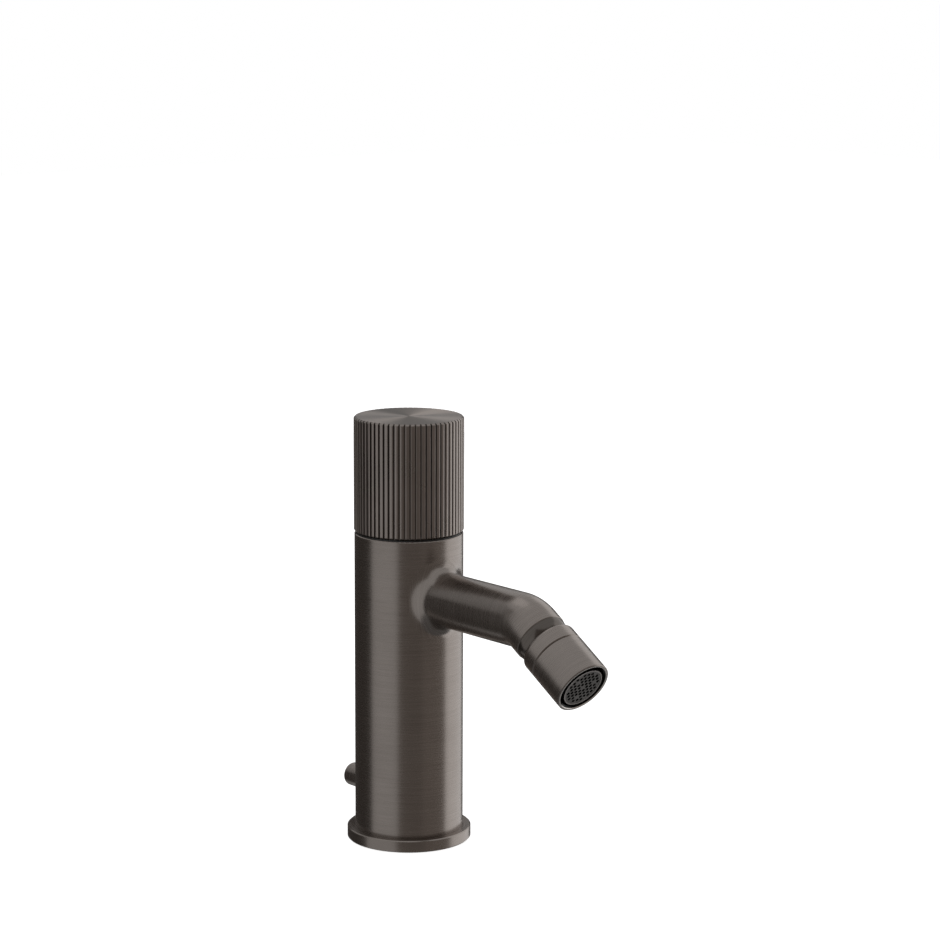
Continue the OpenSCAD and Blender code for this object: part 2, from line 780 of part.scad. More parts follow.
// Spindle: a square foot in the driver, the stop lug, a round neck and the square end
foot_in = 0.4;
spindle_ring_t = 1.4;
spindle_ring_z = roof_z + roof_h / 2;
module cartridge_spindle() {
    color(brass) difference() {
        union() {
            translate([-spindle_sq / 2, -spindle_sq / 2, foot_z - foot_peg])
                cube([spindle_sq, spindle_sq, foot_peg + seat]);
            translate([0, 0, foot_z]) cylinder(r = lug_r - foot_in, h = foot_h);
            translate([0, 0, stop_z - seat]) cylinder(r = barrel_r, h = stop_h + seat);
            translate([0, 0, stop_z - seat])
                sector(lug_r, barrel_r - 1, stop_h + seat, stop_at + stop_tab / 2 + stop_margin, lug_angle);
            translate([0, 0, stop_z]) cylinder(r = spindle_r, h = hub_z - stop_z);
            translate([-spindle_sq / 2, -spindle_sq / 2, roof_top])
                cube([spindle_sq, spindle_sq, square_top - roof_top]);
        }
        translate([0, 0, spindle_ring_z - spindle_ring_t / 2 - seat])
            ring(spindle_r + over, spindle_r - spindle_ring_t, spindle_ring_t + 2 * seat);
        translate([0, 0, square_top - screw_l - 1])
            cylinder(r = screw_r + seat, h = screw_l + 1 + over);
    }
}

// Sealing ring on the spindle, in the housing's roof
module spindle_o_ring() {
    color(rubber) translate([0, 0, spindle_ring_z])
        o_ring(spindle_r - spindle_ring_t / 2, spindle_ring_t);
}

// Stop ring in the housing: its tab ends the lug's way at both sides
module limit_ring() {
    color(acetal) translate([0, 0, stop_z + pass]) {
        ring(housing_in - seat, lug_r + pass, stop_h);
        sector(lug_r + pass + 0.5, barrel_r + pass, stop_h, stop_at - stop_tab / 2, stop_tab);
    }
}

// Housing over the discs, with a clamping rim and the spindle's bearing in its roof
module cartridge_housing() {
    color(acetal) difference() {
        union() {
            translate([0, 0, cart_z + base_rim])
                cylinder(r = cartridge_r, h = nut_z - cart_z - base_rim);
            translate([0, 0, clamp_z]) cylinder(r = cartridge_r + clamp_w, h = clamp_h);
            translate([0, 0, nut_z - seat]) cylinder(r = nut_in - pass, h = roof_top - nut_z + seat);
        }
        translate([0, 0, cart_z]) cylinder(r = housing_in, h = roof_z - cart_z);
        translate([0, 0, roof_z - over]) cylinder(r = spindle_r + run, h = roof_h + 2 * over);
    }
}

// Nut that clamps the cartridge, with a hexagon for a key on top
nut_hex_h = 3;
module cartridge_nut() {
    color(brass) translate([0, 0, nut_z]) difference() {
        union() {
            cylinder(r = neck_in - seat, h = nut_h - nut_hex_h);
            translate([0, 0, nut_h - nut_hex_h]) cylinder(r = neck_in - seat, h = nut_hex_h, $fn = 6);
        }
        translate([0, 0, -over]) cylinder(r = nut_in, h = nut_h + 2 * over);
    }
}

// Dark ring on the column's rim, in the gap under the knob
module knob_glide_ring() {
    color(rubber) translate([0, 0, body_top])
        ring(body_r - glide_in, lip_r + glide_in, glide_h);
}

// Disc that carries the knob on the spindle
module handle_adapter() {
    color(brass) difference() {
        union() {
            translate([0, 0, adapter_z]) cylinder(r = skirt_in - seat, h = adapter_h);
            translate([0, 0, hub_z]) cylinder(r = hub_r, h = adapter_z - hub_z + over);
        }
        translate([-spindle_sq / 2 - seat, -spindle_sq / 2 - seat, hub_z - over])
            cube([spindle_sq + 2 * seat, spindle_sq + 2 * seat, spindle_sq_h + seat + over]);
        cylinder(r = screw_r + seat, h = adapter_top + over);
        translate([0, 0, head_z]) cylinder(r = screw_head_r + pass, h = adapter_top - head_z + over);
        translate([0, grub_y - seat, grub_z]) rotate([-90, 0, 0]) cylinder(r = grub_r + seat, h = body_r);
    }
}

// Screw that holds the adapter on the spindle
module spindle_screw() {
    color(steel) difference() {
        union() {
            translate([0, 0, square_top - screw_l])
                cylinder(r = screw_r, h = head_z - square_top + screw_l + seat);
            translate([0, 0, head_z]) cylinder(r = screw_head_r, h = screw_head_h);
        }
        translate([0, 0, head_z + screw_head_h]) hex_socket(screw_head_r, screw_head_h / 2);
    }
}

// One rib of the knob, in section: straight sides and a round crest
module rib() {
    translate([knob_r - rib_crest, 0]) intersection() {
        circle(r = rib_crest, $fn = 32);
        square([2 * rib_crest, rib_w], center = true);
    }
}

// Knob: a ribbed cup with chamfered ends
module knob() {
    color(gunmetal) difference() {
        intersection() {
            translate([0, 0, knob_z]) linear_extrude(knob_h) {
                circle(r = skin_r);
                for (i = [0 : ribs - 1])
                    rotate(rib_turn + 360 * i / ribs) rib();
            }
            rotate_extrude() polygon([
                [0, knob_z], [knob_r - knob_edge, knob_z], [knob_r + e, knob_z + knob_edge + e],
                [knob_r + e, knob_top - knob_edge - e], [knob_r - knob_edge, knob_top], [0, knob_top]
            ]);
        }
        translate([0, 0, knob_z - over]) cylinder(r = skirt_in, h = adapter_top - knob_z + over);
        translate([0, 0, adapter_top - over])
            cylinder(r = skirt_in - wall_step, h = knob_top - knob_cap - adapter_top + over);
        translate([0, skirt_in - over, grub_z]) rotate([-90, 0, 0]) cylinder(r = grub_r + seat, h = body_r);
    }
}

// Set screw through the knob's back into the adapter
module knob_grub_screw() {
    color(steel) translate([0, grub_y, grub_z]) rotate([-90, 0, 0]) difference() {
        cylinder(r = grub_r, h = grub_l);
        translate([0, 0, grub_l]) hex_socket(grub_r * 1.2, grub_l / 2);
    }
}

// Small knob behind the foot, on the pin
module drain_knob() {
    color(gunmetal) translate([0, body_r + drain_gap, drain_z]) rotate([-90, 0, 0]) difference() {
        rotate_extrude() polygon([
            [0, 0], [drain_d / 2 - drain_edge, 0], [drain_d / 2, drain_edge],
            [drain_d / 2, drain_l - drain_edge], [drain_d / 2 - drain_edge, drain_l], [0, drain_l]
        ]);
        translate([0, 0, -over]) cylinder(r = pin_r + seat, h = drain_l / 2 + over);
    }
}

// Pin from the carriage out to the drain knob
module drain_pin() {
    color(steel) translate([0, pin_in, drain_z]) rotate([-90, 0, 0])
        cylinder(r = pin_r, h = pin_out - pin_in);
}

// Carriage on the lift rod's top, which slides up and down inside the column
module drain_carriage() {
    color(acetal) difference() {
        intersection() {
            translate([-carriage_w / 2, carriage_y, carriage_z])
                cube([carriage_w, body_r, carriage_h]);
            translate([0, 0, carriage_z - over]) cylinder(r = bore_r - pass, h = carriage_h + 2 * over);
        }
        translate([0, rod_y, carriage_z - over]) cylinder(r = rod_r, h = rod_depth + over);
        translate([0, pin_in - seat, drain_z]) rotate([-90, 0, 0]) cylinder(r = pin_r + seat, h = body_r);
    }
}

// Plastic frame in the column's slot, in which the pin runs up and down
guide_in = 0.2;
module drain_slot_guide() {
    color(rubber) intersection() {
        difference() {
            drain_slot(guide_r, bore_r - 2 * over, body_r + over);
            drain_slot(slot_r, bore_r - 3 * over, body_r + 2 * over);
        }
        translate([0, 0, drain_z - 2 * guide_r])
            ring(body_r - guide_in, bore_r, drain_travel + 4 * guide_r);
    }
}

// Half plane wedge from the axis out to an angle, in a section of the nozzle
module wedge(angle) {
    far = 4 * nozzle_r;
    polygon([[0, 0], [far * sin(angle), far * cos(angle)], [0, far]]);
}

// Hollow ball with a spigot in the spout, a window for the stem and a groove for its seal
module swivel_ball() {
    color(gunmetal) at_nozzle() rotate_extrude() difference() {
        union() {
            intersection() {
                circle(r = ball_r);
                translate([0, ball_in]) square([nozzle_r, nozzle_r]);
            }
            translate([0, ball_in - spigot_l]) square([socket_r - seat, spigot_l + seat]);
        }
        translate([-nozzle_r, -nozzle_r]) square([nozzle_r, 2 * nozzle_r]);
        circle(r = ball_bore);
        translate([0, -nozzle_r]) square([ball_bore, nozzle_r]);
        wedge(window);
        rotate(-swivel_ring_at) translate([0, swivel_ring_r])
            circle(d = swivel_ring_t + 2 * seat, $fn = 32);
    }
}

// Sealing ring in the ball, on the stud's dish
module swivel_seal() {
    color(rubber) at_nozzle()
        translate([0, 0, (swivel_ring_r) * cos(swivel_ring_at)])
            o_ring((swivel_ring_r) * sin(swivel_ring_at), swivel_ring_t);
}

// Stud inside the ball: a dish on the seal, a bored stem through the window and a thread
dish_angle = 74;
module swivel_stud() {
    color(brass) at_nozzle() rotate_extrude() difference() {
        union() {
            intersection() {
                difference() {
                    circle(r = dish_r);
                    circle(r = dish_r - dish_t);
                }
                wedge(dish_angle);
            }
            translate([0, dish_r - dish_t]) square([stem_r, web_t + run - dish_r + dish_t]);
            translate([0, web_t]) square([thread_r, stud_end - web_t]);
        }
        translate([-nozzle_r, -nozzle_r]) square([nozzle_r, 4 * nozzle_r]);
        square([stem_bore, 4 * nozzle_r]);
    }
}

// Thin slip liner between ball and collar
module swivel_liner() {
    color(acetal) at_nozzle() rotate_extrude() difference() {
        intersection() {
            circle(r = liner_r + liner_t);
            wedge(liner_to);
        }
        circle(r = liner_r);
        wedge(liner_from);
    }
}

// Collar of the nozzle: a cup on the ball, a web for the stud and a thread for the sleeve
collar_wall = 1.6;
module collar_edge() {
    translate([nozzle_r - collar_round, collar_at + collar_round]) circle(r = collar_round, $fn = 64);
    translate([0, collar_at]) square([nozzle_r - collar_round, web_t - collar_at]);
    translate([0, collar_at + collar_round]) square([nozzle_r, seam_t - collar_at - collar_round - seam]);
    translate([0, seam_t - seam]) polygon([[0, 0], [nozzle_r, 0], [nozzle_r - seam, seam], [0, seam]]);
    translate([0, seam_t - seam]) square([collar_thread_r, spigot_end - seam_t + seam]);
}
module nozzle_collar() {
    color(gunmetal) at_nozzle() rotate_extrude() difference() {
        collar_edge();
        circle(r = cup_r);
        translate([-nozzle_r, 0]) square([nozzle_r, tip_t]);
        square([stem_r + run, tip_t]);
        translate([0, web_t]) square([collar_thread_r - collar_wall, tip_t]);
    }
}

// Nut on the stud, under the collar's web
module stud_nut() {
    color(brass) at_nozzle() translate([0, 0, web_t + run]) difference() {
        cylinder(d = stud_nut_d, h = stud_nut_h, $fn = 6);
        translate([0, 0, -over]) cylinder(r = thread_r + seat, h = stud_nut_h + 2 * over);
    }
}

// Sleeve of the nozzle, from the V seam to the tip
tip_bevel = 0.3;
module nozzle_sleeve() {
    color(gunmetal) at_nozzle() rotate_extrude() difference() {
        polygon([
            [0, seam_t], [nozzle_r - seam, seam_t], [nozzle_r, seam_t + seam],
            [nozzle_r, tip_t - tip_bevel], [nozzle_r - tip_bevel, tip_t], [0, tip_t]
        ]);
        translate([0, seam_t - over]) square([chamber_r, sleeve_l + 2 * over]);
        translate([0, seam_t - over]) square([collar_thread_r + seat, spigot_end - seam_t + over]);
        polygon([
            [chamber_r - over, tip_t - tip_edge - over], [chamber_r + tip_edge + over, tip_t + over],
            [chamber_r - over, tip_t + over]
        ]);
    }
}

// Flat washer between the collar's thread and the aerator
module aerator_seal() {
    color(rubber) at_nozzle() translate([0, 0, spigot_end])
        ring(chamber_r - seat, cage_in, washer_h);
}

// Threaded cage of the aerator, with a plain rim that shows in the tip
module aerator_cage() {
    color(acetal) at_nozzle() difference() {
        union() {
            translate([0, 0, cage_t]) cylinder(r = chamber_r - seat, h = aerator_thread);
            translate([0, 0, cage_t]) cylinder(r = cage_r, h = cage_end - cage_t);
        }
        translate([0, 0, cage_t - over]) cylinder(r = cage_in, h = cage_end - cage_t + 2 * over);
    }
}

// Places of a hexagonal lattice inside a radius
function lattice(pitch, reach) = [
    for (i = [-6 : 6]) for (j = [-6 : 6])
        let (p = pitch * [i + j / 2, j * sqrt(3) / 2])
        if (norm(p) <= reach) [i, j, p[0], p[1]]
];

// Two perforated screens in the cage
screen_at = 2;
screen_step = 2.5;
screen_pitch = 2.6;
screen_edge = 1.6;
screen_hole = 1.8;
module aerator_screens() {
    color(steel) at_nozzle()
        for (i = [0, 1])
            translate([0, 0, cage_t + screen_at + i * screen_step]) linear_extrude(screen_t) difference() {
                circle(r = cage_in - seat);
                for (cell = lattice(screen_pitch, cage_in - screen_edge))
                    translate([cell[2], cell[3]]) circle(d = screen_hole, $fn = 6);
            }
}

// Perforated plate in the tip: its middle and three more of its cells are solid
grid_edge = 0.25;
function is_solid(cell) =
    (cell[0] == 0 && cell[1] == 0) || (cell[0] == 2 && cell[1] == 1)
    || (cell[0] == -3 && cell[1] == 2) || (cell[0] == 1 && cell[1] == -3);
module aerator_grid() {
    color(rubber) at_nozzle() translate([0, 0, grid_end - grid_h])
        linear_extrude(grid_h) difference() {
            circle(r = cage_in - seat);
            rotate(grid_turn)
                for (cell = lattice(grid_pitch, cage_in - seat - grid_edge - grid_hole / 2))
                    if (!is_solid(cell))
                        translate([cell[2], cell[3]]) circle(d = grid_hole, $fn = 6);
        }
}

column();
spout();
base_flange();
base_gasket();
base_block();
rod_guide();
tie_rods();
cold_inlet_tube();
hot_inlet_tube();
tube_o_rings();
valve_core();
core_o_rings();
cartridge_base();
port_seals();
lower_disc();
upper_disc();
disc_driver();
cartridge_spindle();
spindle_o_ring();
limit_ring();
cartridge_housing();
cartridge_nut();
knob_glide_ring();
handle_adapter();
spindle_screw();
knob();
knob_grub_screw();
drain_knob();
drain_pin();
drain_carriage();
drain_slot_guide();
swivel_ball();
swivel_seal();
swivel_stud();
swivel_liner();
nozzle_collar();
stud_nut();
nozzle_sleeve();
aerator_seal();
aerator_cage();
aerator_screens();
aerator_grid();
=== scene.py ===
import logging
import math
from dataclasses import dataclass, field
from enum import Enum
from typing import Callable, ClassVar, Iterable, Optional, Sequence, Union

import bpy
from mathutils import Matrix, Vector


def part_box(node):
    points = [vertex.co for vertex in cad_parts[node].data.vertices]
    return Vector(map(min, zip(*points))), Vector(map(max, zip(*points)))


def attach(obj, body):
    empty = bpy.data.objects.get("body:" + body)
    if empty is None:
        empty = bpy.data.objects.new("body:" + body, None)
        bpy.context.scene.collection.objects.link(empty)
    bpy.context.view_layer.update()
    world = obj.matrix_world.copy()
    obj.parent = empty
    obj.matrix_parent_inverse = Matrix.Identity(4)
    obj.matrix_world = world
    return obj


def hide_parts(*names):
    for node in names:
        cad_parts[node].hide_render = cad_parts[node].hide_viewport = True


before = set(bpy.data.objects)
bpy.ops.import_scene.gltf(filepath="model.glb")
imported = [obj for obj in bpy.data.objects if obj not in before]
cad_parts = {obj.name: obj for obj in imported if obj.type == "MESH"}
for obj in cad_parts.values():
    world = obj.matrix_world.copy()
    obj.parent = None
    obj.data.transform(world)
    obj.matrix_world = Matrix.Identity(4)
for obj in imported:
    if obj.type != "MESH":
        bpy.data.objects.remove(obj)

LOG = logging.getLogger("bidet_mixer")
MM = 0.001
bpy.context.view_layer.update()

Number = Union[int, float]
Point = tuple[float, float, float]
Colour = tuple[float, float, float]

SHARP = math.radians(35)
NOISE_MIDDLE = (0.35, 0.65)
# Painted shade: the near black that recesses and bores are painted with, standing in for the shade
# inside them.
PAINTED_SHADE_BLACK = (0.004, 0.004, 0.004)
SPOUT_ANGLE = math.radians(31.5)
SPOUT_CORNER = (0.0, -0.073, 0.103)
NOZZLE_AXIS = Vector((0.0, -math.cos(SPOUT_ANGLE), -math.sin(SPOUT_ANGLE)))


class Grain(Enum):
    """The way a brushed finish runs."""

    ALONG_Z = "rings round an upright axis"
    ALONG_Y = "rings round the spout's level stretch"
    ALONG_NOZZLE = "rings round the nozzle's axis"
    SPUN_TOP = "rings in a level face round the column's axis"


class Side(Enum):
    """A ring of studio panels: low ones reach under the floor, high ones stand over them."""

    LOW = "low"
    HIGH = "high"


# Shader maths


class Field:
    """A socket of a node tree that adds and multiplies like a number."""

    def __init__(self, graph: "Graph", socket: bpy.types.NodeSocket) -> None:
        """Wraps one output socket of the graph."""
        self.graph = graph
        self.socket = socket

    def __add__(self, other: Union["Field", Number]) -> "Field":
        """Sum."""
        return self.graph.math("ADD", self, other)

    def __mul__(self, other: Union["Field", Number]) -> "Field":
        """Product."""
        return self.graph.math("MULTIPLY", self, other)

    def spread(self, low: float, high: float, to_low: float, to_high: float) -> "Field":
        """Maps a range to another, held at both ends.

        Args:
            low: start of the range that is read.
            high: end of it.
            to_low: value at the start.
            to_high: value at the end.

        Returns:
            The mapped field.
        """
        return self.graph.node("ShaderNodeMapRange", {
            "Value": self, "From Min": low, "From Max": high, "To Min": to_low, "To Max": to_high})


class Graph:
    """A node tree being built, for a material or the world."""

    def __init__(self, tree: bpy.types.NodeTree) -> None:
        """Clears the tree."""
        self.tree = tree
        tree.nodes.clear()

    def math(self, operation: str, a: Union[Field, Number], b: Union[Field, Number]) -> Field:
        """A Math node on two fields or numbers."""
        return self.node("ShaderNodeMath", {0: a, 1: b}, operation=operation)

    def node(self, kind: str, inputs: Optional[dict] = None, output: Union[int, str] = 0,
             **settings: object) -> Field:
        """Adds any node.

        Args:
            kind: the node's type name.
            inputs: socket name or number to a field or a constant.
            output: which output is wanted.
            settings: properties of the node.

        Returns:
            The wanted output as a field.
        """
        made = self.tree.nodes.new(kind)
        for name, value in settings.items():
            setattr(made, name, value)
        for key, value in (inputs or {}).items():
            socket = made.inputs[key]
            if isinstance(value, Field):
                self.tree.links.new(value.socket, socket)
            else:
                socket.default_value = value
        return Field(self, made.outputs[output])

    def place(self) -> Field:
        """Object coordinates."""
        return self.node("ShaderNodeTexCoord", output="Object")

    def along(self, direction: Sequence[float]) -> Field:
        """Distance along a direction, in object coordinates."""
        return self.node("ShaderNodeVectorMath", {0: self.place(), 1: tuple(direction)},
                         output="Value", operation="DOT_PRODUCT")

    def vector(self, operation: str, a: Union[Field, Sequence[float]],
               b: Union[Field, Sequence[float]]) -> Field:
        """A Vector Math node on two vectors."""
        return self.node("ShaderNodeVectorMath", {0: a, 1: b}, operation=operation)

    def scaled(self, a: Union[Field, Sequence[float]], factor: Union[Field, float]) -> Field:
        """A vector times a number."""
        return self.node("ShaderNodeVectorMath", {0: a, "Scale": factor}, operation="SCALE")

    def noise(self, at: Field, scale: float, detail: float = 2.0) -> Field:
        """Noise of about 0.5 at a place."""
        return self.node("ShaderNodeTexNoise", {"Vector": at, "Scale": scale, "Detail": detail})

    def tint(self, amount: Field, dark: Colour, light: Colour) -> Field:
        """Mixes two colours."""
        return self.node("ShaderNodeMix", {0: amount, 6: (*dark, 1.0), 7: (*light, 1.0)}, output=2,
                         data_type="RGBA")

    def shade(self, tone: Field, shown: Field, dark: Colour, light: Colour) -> Field:
        """Mixes two colours, and paints shade: falls to near black where nothing is shown."""
        share = dark[0] / light[0]
        return self.tint((tone * (1 - share) + share) * shown, PAINTED_SHADE_BLACK, light)

    def bump(self, height: Field, strength: float, distance: float) -> Field:
        """A bump from a height."""
        return self.node("ShaderNodeBump", {"Height": height, "Strength": strength,
                                            "Distance": distance})


# Finishes


Look = tuple[bpy.types.Material, Graph, bpy.types.Node]


@dataclass(frozen=True)
class Brushed:
    """Brushed gunmetal plating: fine lines that all run one way, over a dark warm metal."""

    name: str
    grain: Grain
    dark: Colour = (0.282, 0.249, 0.228)
    light: Colour = (0.350, 0.311, 0.287)
    roughness: float = 0.27
    spread: float = 0.05
    line: float = 5200.0
    length: float = 55.0
    relief: float = 0.04
    spun: float = 0.0
    # painted_rays: painted highlight, light and dark rays round the spun top's middle where its
    # reflection would show them.
    painted_rays: bool = False
    # painted_shade_bore: painted shade, near black inside this distance from the nozzle's axis,
    # standing in for the shade in the sleeve's bore.
    painted_shade_bore: float = 0.0
    # highlight_lip: painted highlight, a light ring out to this distance from the nozzle's axis, on
    # the sleeve's end face.
    highlight_lip: float = 0.0
    LIP_HIGHLIGHT: ClassVar[Colour] = (0.86, 0.81, 0.77)
    CLOUD_SCALE: ClassVar[float] = 55.0
    CLOUD_SHARE: ClassVar[float] = 0.25
    TONE_RANGE: ClassVar[tuple[float, float]] = (0.36, 0.64)
    SPUN_TURN: ClassVar[float] = 0.25
    BUMP_DEPTH: ClassVar[float] = 0.00006
    BORE_EDGE: ClassVar[float] = 0.00005
    TONE_SHARE: ClassVar[float] = 0.22
    TONE_START: ClassVar[float] = 0.36
    PAINTED_RAY_WAVES: ClassVar[tuple[tuple[int, float, float], ...]] = (
        (1, 0.16, -17.0), (2, 0.28, -15.0), (3, 0.06, 24.0), (4, 0.17, 16.5), (6, 0.12, 3.0))

    def material(self) -> bpy.types.Material:
        """Builds the material.

        Returns:
            The finished material.
        """
        made, graph, shader = metal(self.name, self.roughness)
        shader.inputs["Anisotropic"].default_value = self.spun
        shader.inputs["Anisotropic Rotation"].default_value = self.SPUN_TURN
        fine = graph.noise(self.lines(graph), 1.0, 2.0)
        cloud = graph.noise(graph.place(), self.CLOUD_SCALE, 3.0)
        mixed = fine * (1 - self.CLOUD_SHARE) + cloud * self.CLOUD_SHARE
        tone = mixed.spread(*self.TONE_RANGE, 0.0, 1.0)
        # Painted highlight: rays of light and dark round the middle of a spun face.
        if self.painted_rays:
            tone = self.painted_ray_tone(graph, tone)
        # Painted shade inside the bore, and a painted highlight ring on the lip.
        if self.painted_shade_bore:
            radius = self.off_axis(graph)
            shown = radius.spread(self.painted_shade_bore - self.BORE_EDGE, self.painted_shade_bore, 0.0, 1.0)
            # The light ring at the lip is a painted highlight.
            lip_highlight_mask = shown * radius.spread(self.highlight_lip - self.BORE_EDGE, self.highlight_lip, 1.0, 0.0)
            bore_shaded = graph.shade(tone, shown, self.dark, self.light)
            colour = graph.node("ShaderNodeMix", {0: lip_highlight_mask, 6: bore_shaded, 7: (*self.LIP_HIGHLIGHT, 1.0)},
                                output=2, data_type="RGBA")
        else:
            colour = graph.tint(tone, self.dark, self.light)
        wire(shader, "Base Color", colour)
        rough = fine.spread(*NOISE_MIDDLE, self.roughness - self.spread / 2,
                            self.roughness + self.spread / 2)
        wire(shader, "Roughness", rough)
        wire(shader, "Normal", graph.bump(fine, self.relief, self.BUMP_DEPTH))
        return made

    def off_axis(self, graph: Graph) -> Field:
        """Measures the distance from the nozzle's axis.

        Args:
            graph: the material's graph.

        Returns:
            The distance in metres.
        """
        offset = graph.vector("SUBTRACT", graph.place(), SPOUT_CORNER)
        across = graph.vector("CROSS_PRODUCT", offset, tuple(NOZZLE_AXIS))
        return graph.node("ShaderNodeVectorMath", {0: across}, output="Value",
                          operation="LENGTH")

    def painted_ray_tone(self, graph: Graph, tone: Field) -> Field:
        """Paints highlights: the light and dark rays that a spun face's reflection shows round its
        middle.

        Args:
            graph: the material's graph.
            tone: the tone of the brushed lines.

        Returns:
            The tone with the rays in it.
        """
        parts = graph.tree.nodes.new("ShaderNodeSeparateXYZ")
        graph.tree.links.new(graph.place().socket, parts.inputs[0])
        x, y = (Field(graph, output) for output in parts.outputs[:2])
        angle = graph.math("ARCTAN2", y, x)
        total = tone * self.TONE_SHARE + self.TONE_START
        for count, weight, start in self.PAINTED_RAY_WAVES:
            wave = graph.math("COSINE", (angle + math.radians(-start)) * float(count), 0.0)
            total = total + wave * weight
        return total

    def lines(self, graph: Graph) -> Field:
        """Makes coordinates that change fast across the brushed lines and slowly along them.

        Args:
            graph: the material's graph.

        Returns:
            The coordinates.
        """
        base = graph.scaled(graph.place(), self.length)
        if self.grain is Grain.SPUN_TOP:
            flat = graph.vector("MULTIPLY", graph.place(), (1.0, 1.0, 0.0))
            radius = graph.node("ShaderNodeVectorMath", {0: flat}, output="Value",
                                operation="LENGTH")
            fast = graph.node("ShaderNodeCombineXYZ", {"X": radius * self.line})
            return graph.vector("ADD", base, fast)
        axis = {Grain.ALONG_Z: Vector((0, 0, 1)), Grain.ALONG_Y: Vector((0, 1, 0)),
                Grain.ALONG_NOZZLE: NOZZLE_AXIS}[self.grain]
        fast = graph.scaled(tuple(axis), graph.along(axis) * self.line)
        return graph.vector("ADD", base, fast)


@dataclass(frozen=True)
class Moulded:
    """Moulded plastic or rubber with a faint cloudy grain."""

    name: str
    dark: Colour
    light: Colour
    roughness: float
    grain: float = 1400.0
    relief: float = 0.15
    # front: painted shade, everything behind this depth along the nozzle's axis falls to near
    # black.
    front: Optional[float] = None
    CLOUD_SCALE: ClassVar[float] = 90.0
    SWING: ClassVar[float] = 0.06
    BUMP_DEPTH: ClassVar[float] = 0.00005
    PAINTED_SHADE_FADE: ClassVar[tuple[float, float]] = (0.00004, 0.00001)

    def material(self) -> bpy.types.Material:
        """Builds the material.

        Returns:
            The finished material.
        """
        made, graph, shader = surface(self.name)
        cloud = graph.noise(graph.place(), self.CLOUD_SCALE, 3.0)
        speck = graph.noise(graph.place(), self.grain, 2.0)
        tone = cloud.spread(*NOISE_MIDDLE, 0.0, 1.0)
        if self.front is None:
            colour = graph.tint(tone, self.dark, self.light)
        else:
            # Painted shade: only the front face keeps its colour; the holes and gaps behind it are
            # painted near black.
            deep, shallow = self.PAINTED_SHADE_FADE
            shown = graph.along(NOZZLE_AXIS).spread(self.front - deep, self.front - shallow,
                                                    0.0, 1.0)
            colour = graph.shade(tone, shown, self.dark, self.light)
        wire(shader, "Base Color", colour)
        wire(shader, "Roughness", speck.spread(0.3, 0.7, self.roughness - self.SWING,
                                               self.roughness + self.SWING))
        wire(shader, "Normal", graph.bump(speck, self.relief, self.BUMP_DEPTH))
        return made


@dataclass(frozen=True)
class Turned:
    """Turned metal: tool marks round the upright axis, over an even colour."""

    name: str
    dark: Colour
    light: Colour
    roughness: float
    MARKS: ClassVar[float] = 2600.0
    LENGTH: ClassVar[float] = 60.0
    CLOUD_SCALE: ClassVar[float] = 70.0
    TONE_RANGE: ClassVar[tuple[float, float]] = (0.38, 0.62)
    SWING: ClassVar[float] = 0.07
    RELIEF: ClassVar[float] = 0.15
    BUMP_DEPTH: ClassVar[float] = 0.00006

    def material(self) -> bpy.types.Material:
        """Builds the material.

        Returns:
            The finished material.
        """
        made, graph, shader = metal(self.name, self.roughness)
        base = graph.scaled(graph.place(), self.LENGTH)
        fast = graph.scaled((0.0, 0.0, 1.0), graph.along((0, 0, 1)) * self.MARKS)
        marks = graph.noise(graph.vector("ADD", base, fast), 1.0, 2.0)
        cloud = graph.noise(graph.place(), self.CLOUD_SCALE, 3.0)
        tone = (marks * 0.5 + cloud * 0.5).spread(*self.TONE_RANGE, 0.0, 1.0)
        wire(shader, "Base Color", graph.tint(tone, self.dark, self.light))
        wire(shader, "Roughness", marks.spread(*NOISE_MIDDLE, self.roughness - self.SWING,
                                               self.roughness + self.SWING))
        wire(shader, "Normal", graph.bump(marks, self.RELIEF, self.BUMP_DEPTH))
        return made


def surface(name: str, open_below: bool = False) -> Look:
    """Starts a material with a Principled shader.

    Args:
        name: the material's name.
        open_below: whether its back side lets the view through.

    Returns:
        The material, its graph and its shader node.
    """
    made = bpy.data.materials.new(name)
    made.use_nodes = True
    graph = Graph(made.node_tree)
    out = made.node_tree.nodes.new("ShaderNodeOutputMaterial")
    shader = made.node_tree.nodes.new("ShaderNodeBsdfPrincipled")
    shown = Field(graph, shader.outputs[0])
    if open_below:
        back = graph.node("ShaderNodeNewGeometry", output="Backfacing")
        clear = graph.node("ShaderNodeBsdfTransparent")
        shown = graph.node("ShaderNodeMixShader", {0: back, 1: shown, 2: clear})
    made.node_tree.links.new(shown.socket, out.inputs["Surface"])
    return made, graph, shader


def metal(name: str, roughness: float) -> Look:
    """Starts a metal material, with a plain roughness until one is wired.

    Args:
        name: the material's name.
        roughness: its plain roughness.

    Returns:
        The material, its graph and its shader node.
    """
    made, graph, shader = surface(name)
    shader.inputs["Metallic"].default_value = 1.0
    shader.inputs["Roughness"].default_value = roughness
    return made, graph, shader


def wire(shader: bpy.types.Node, socket: str, value: Field) -> None:
    """Links a field to one of the shader's inputs."""
    value.graph.tree.links.new(value.socket, shader.inputs[socket])


# Mesh helpers


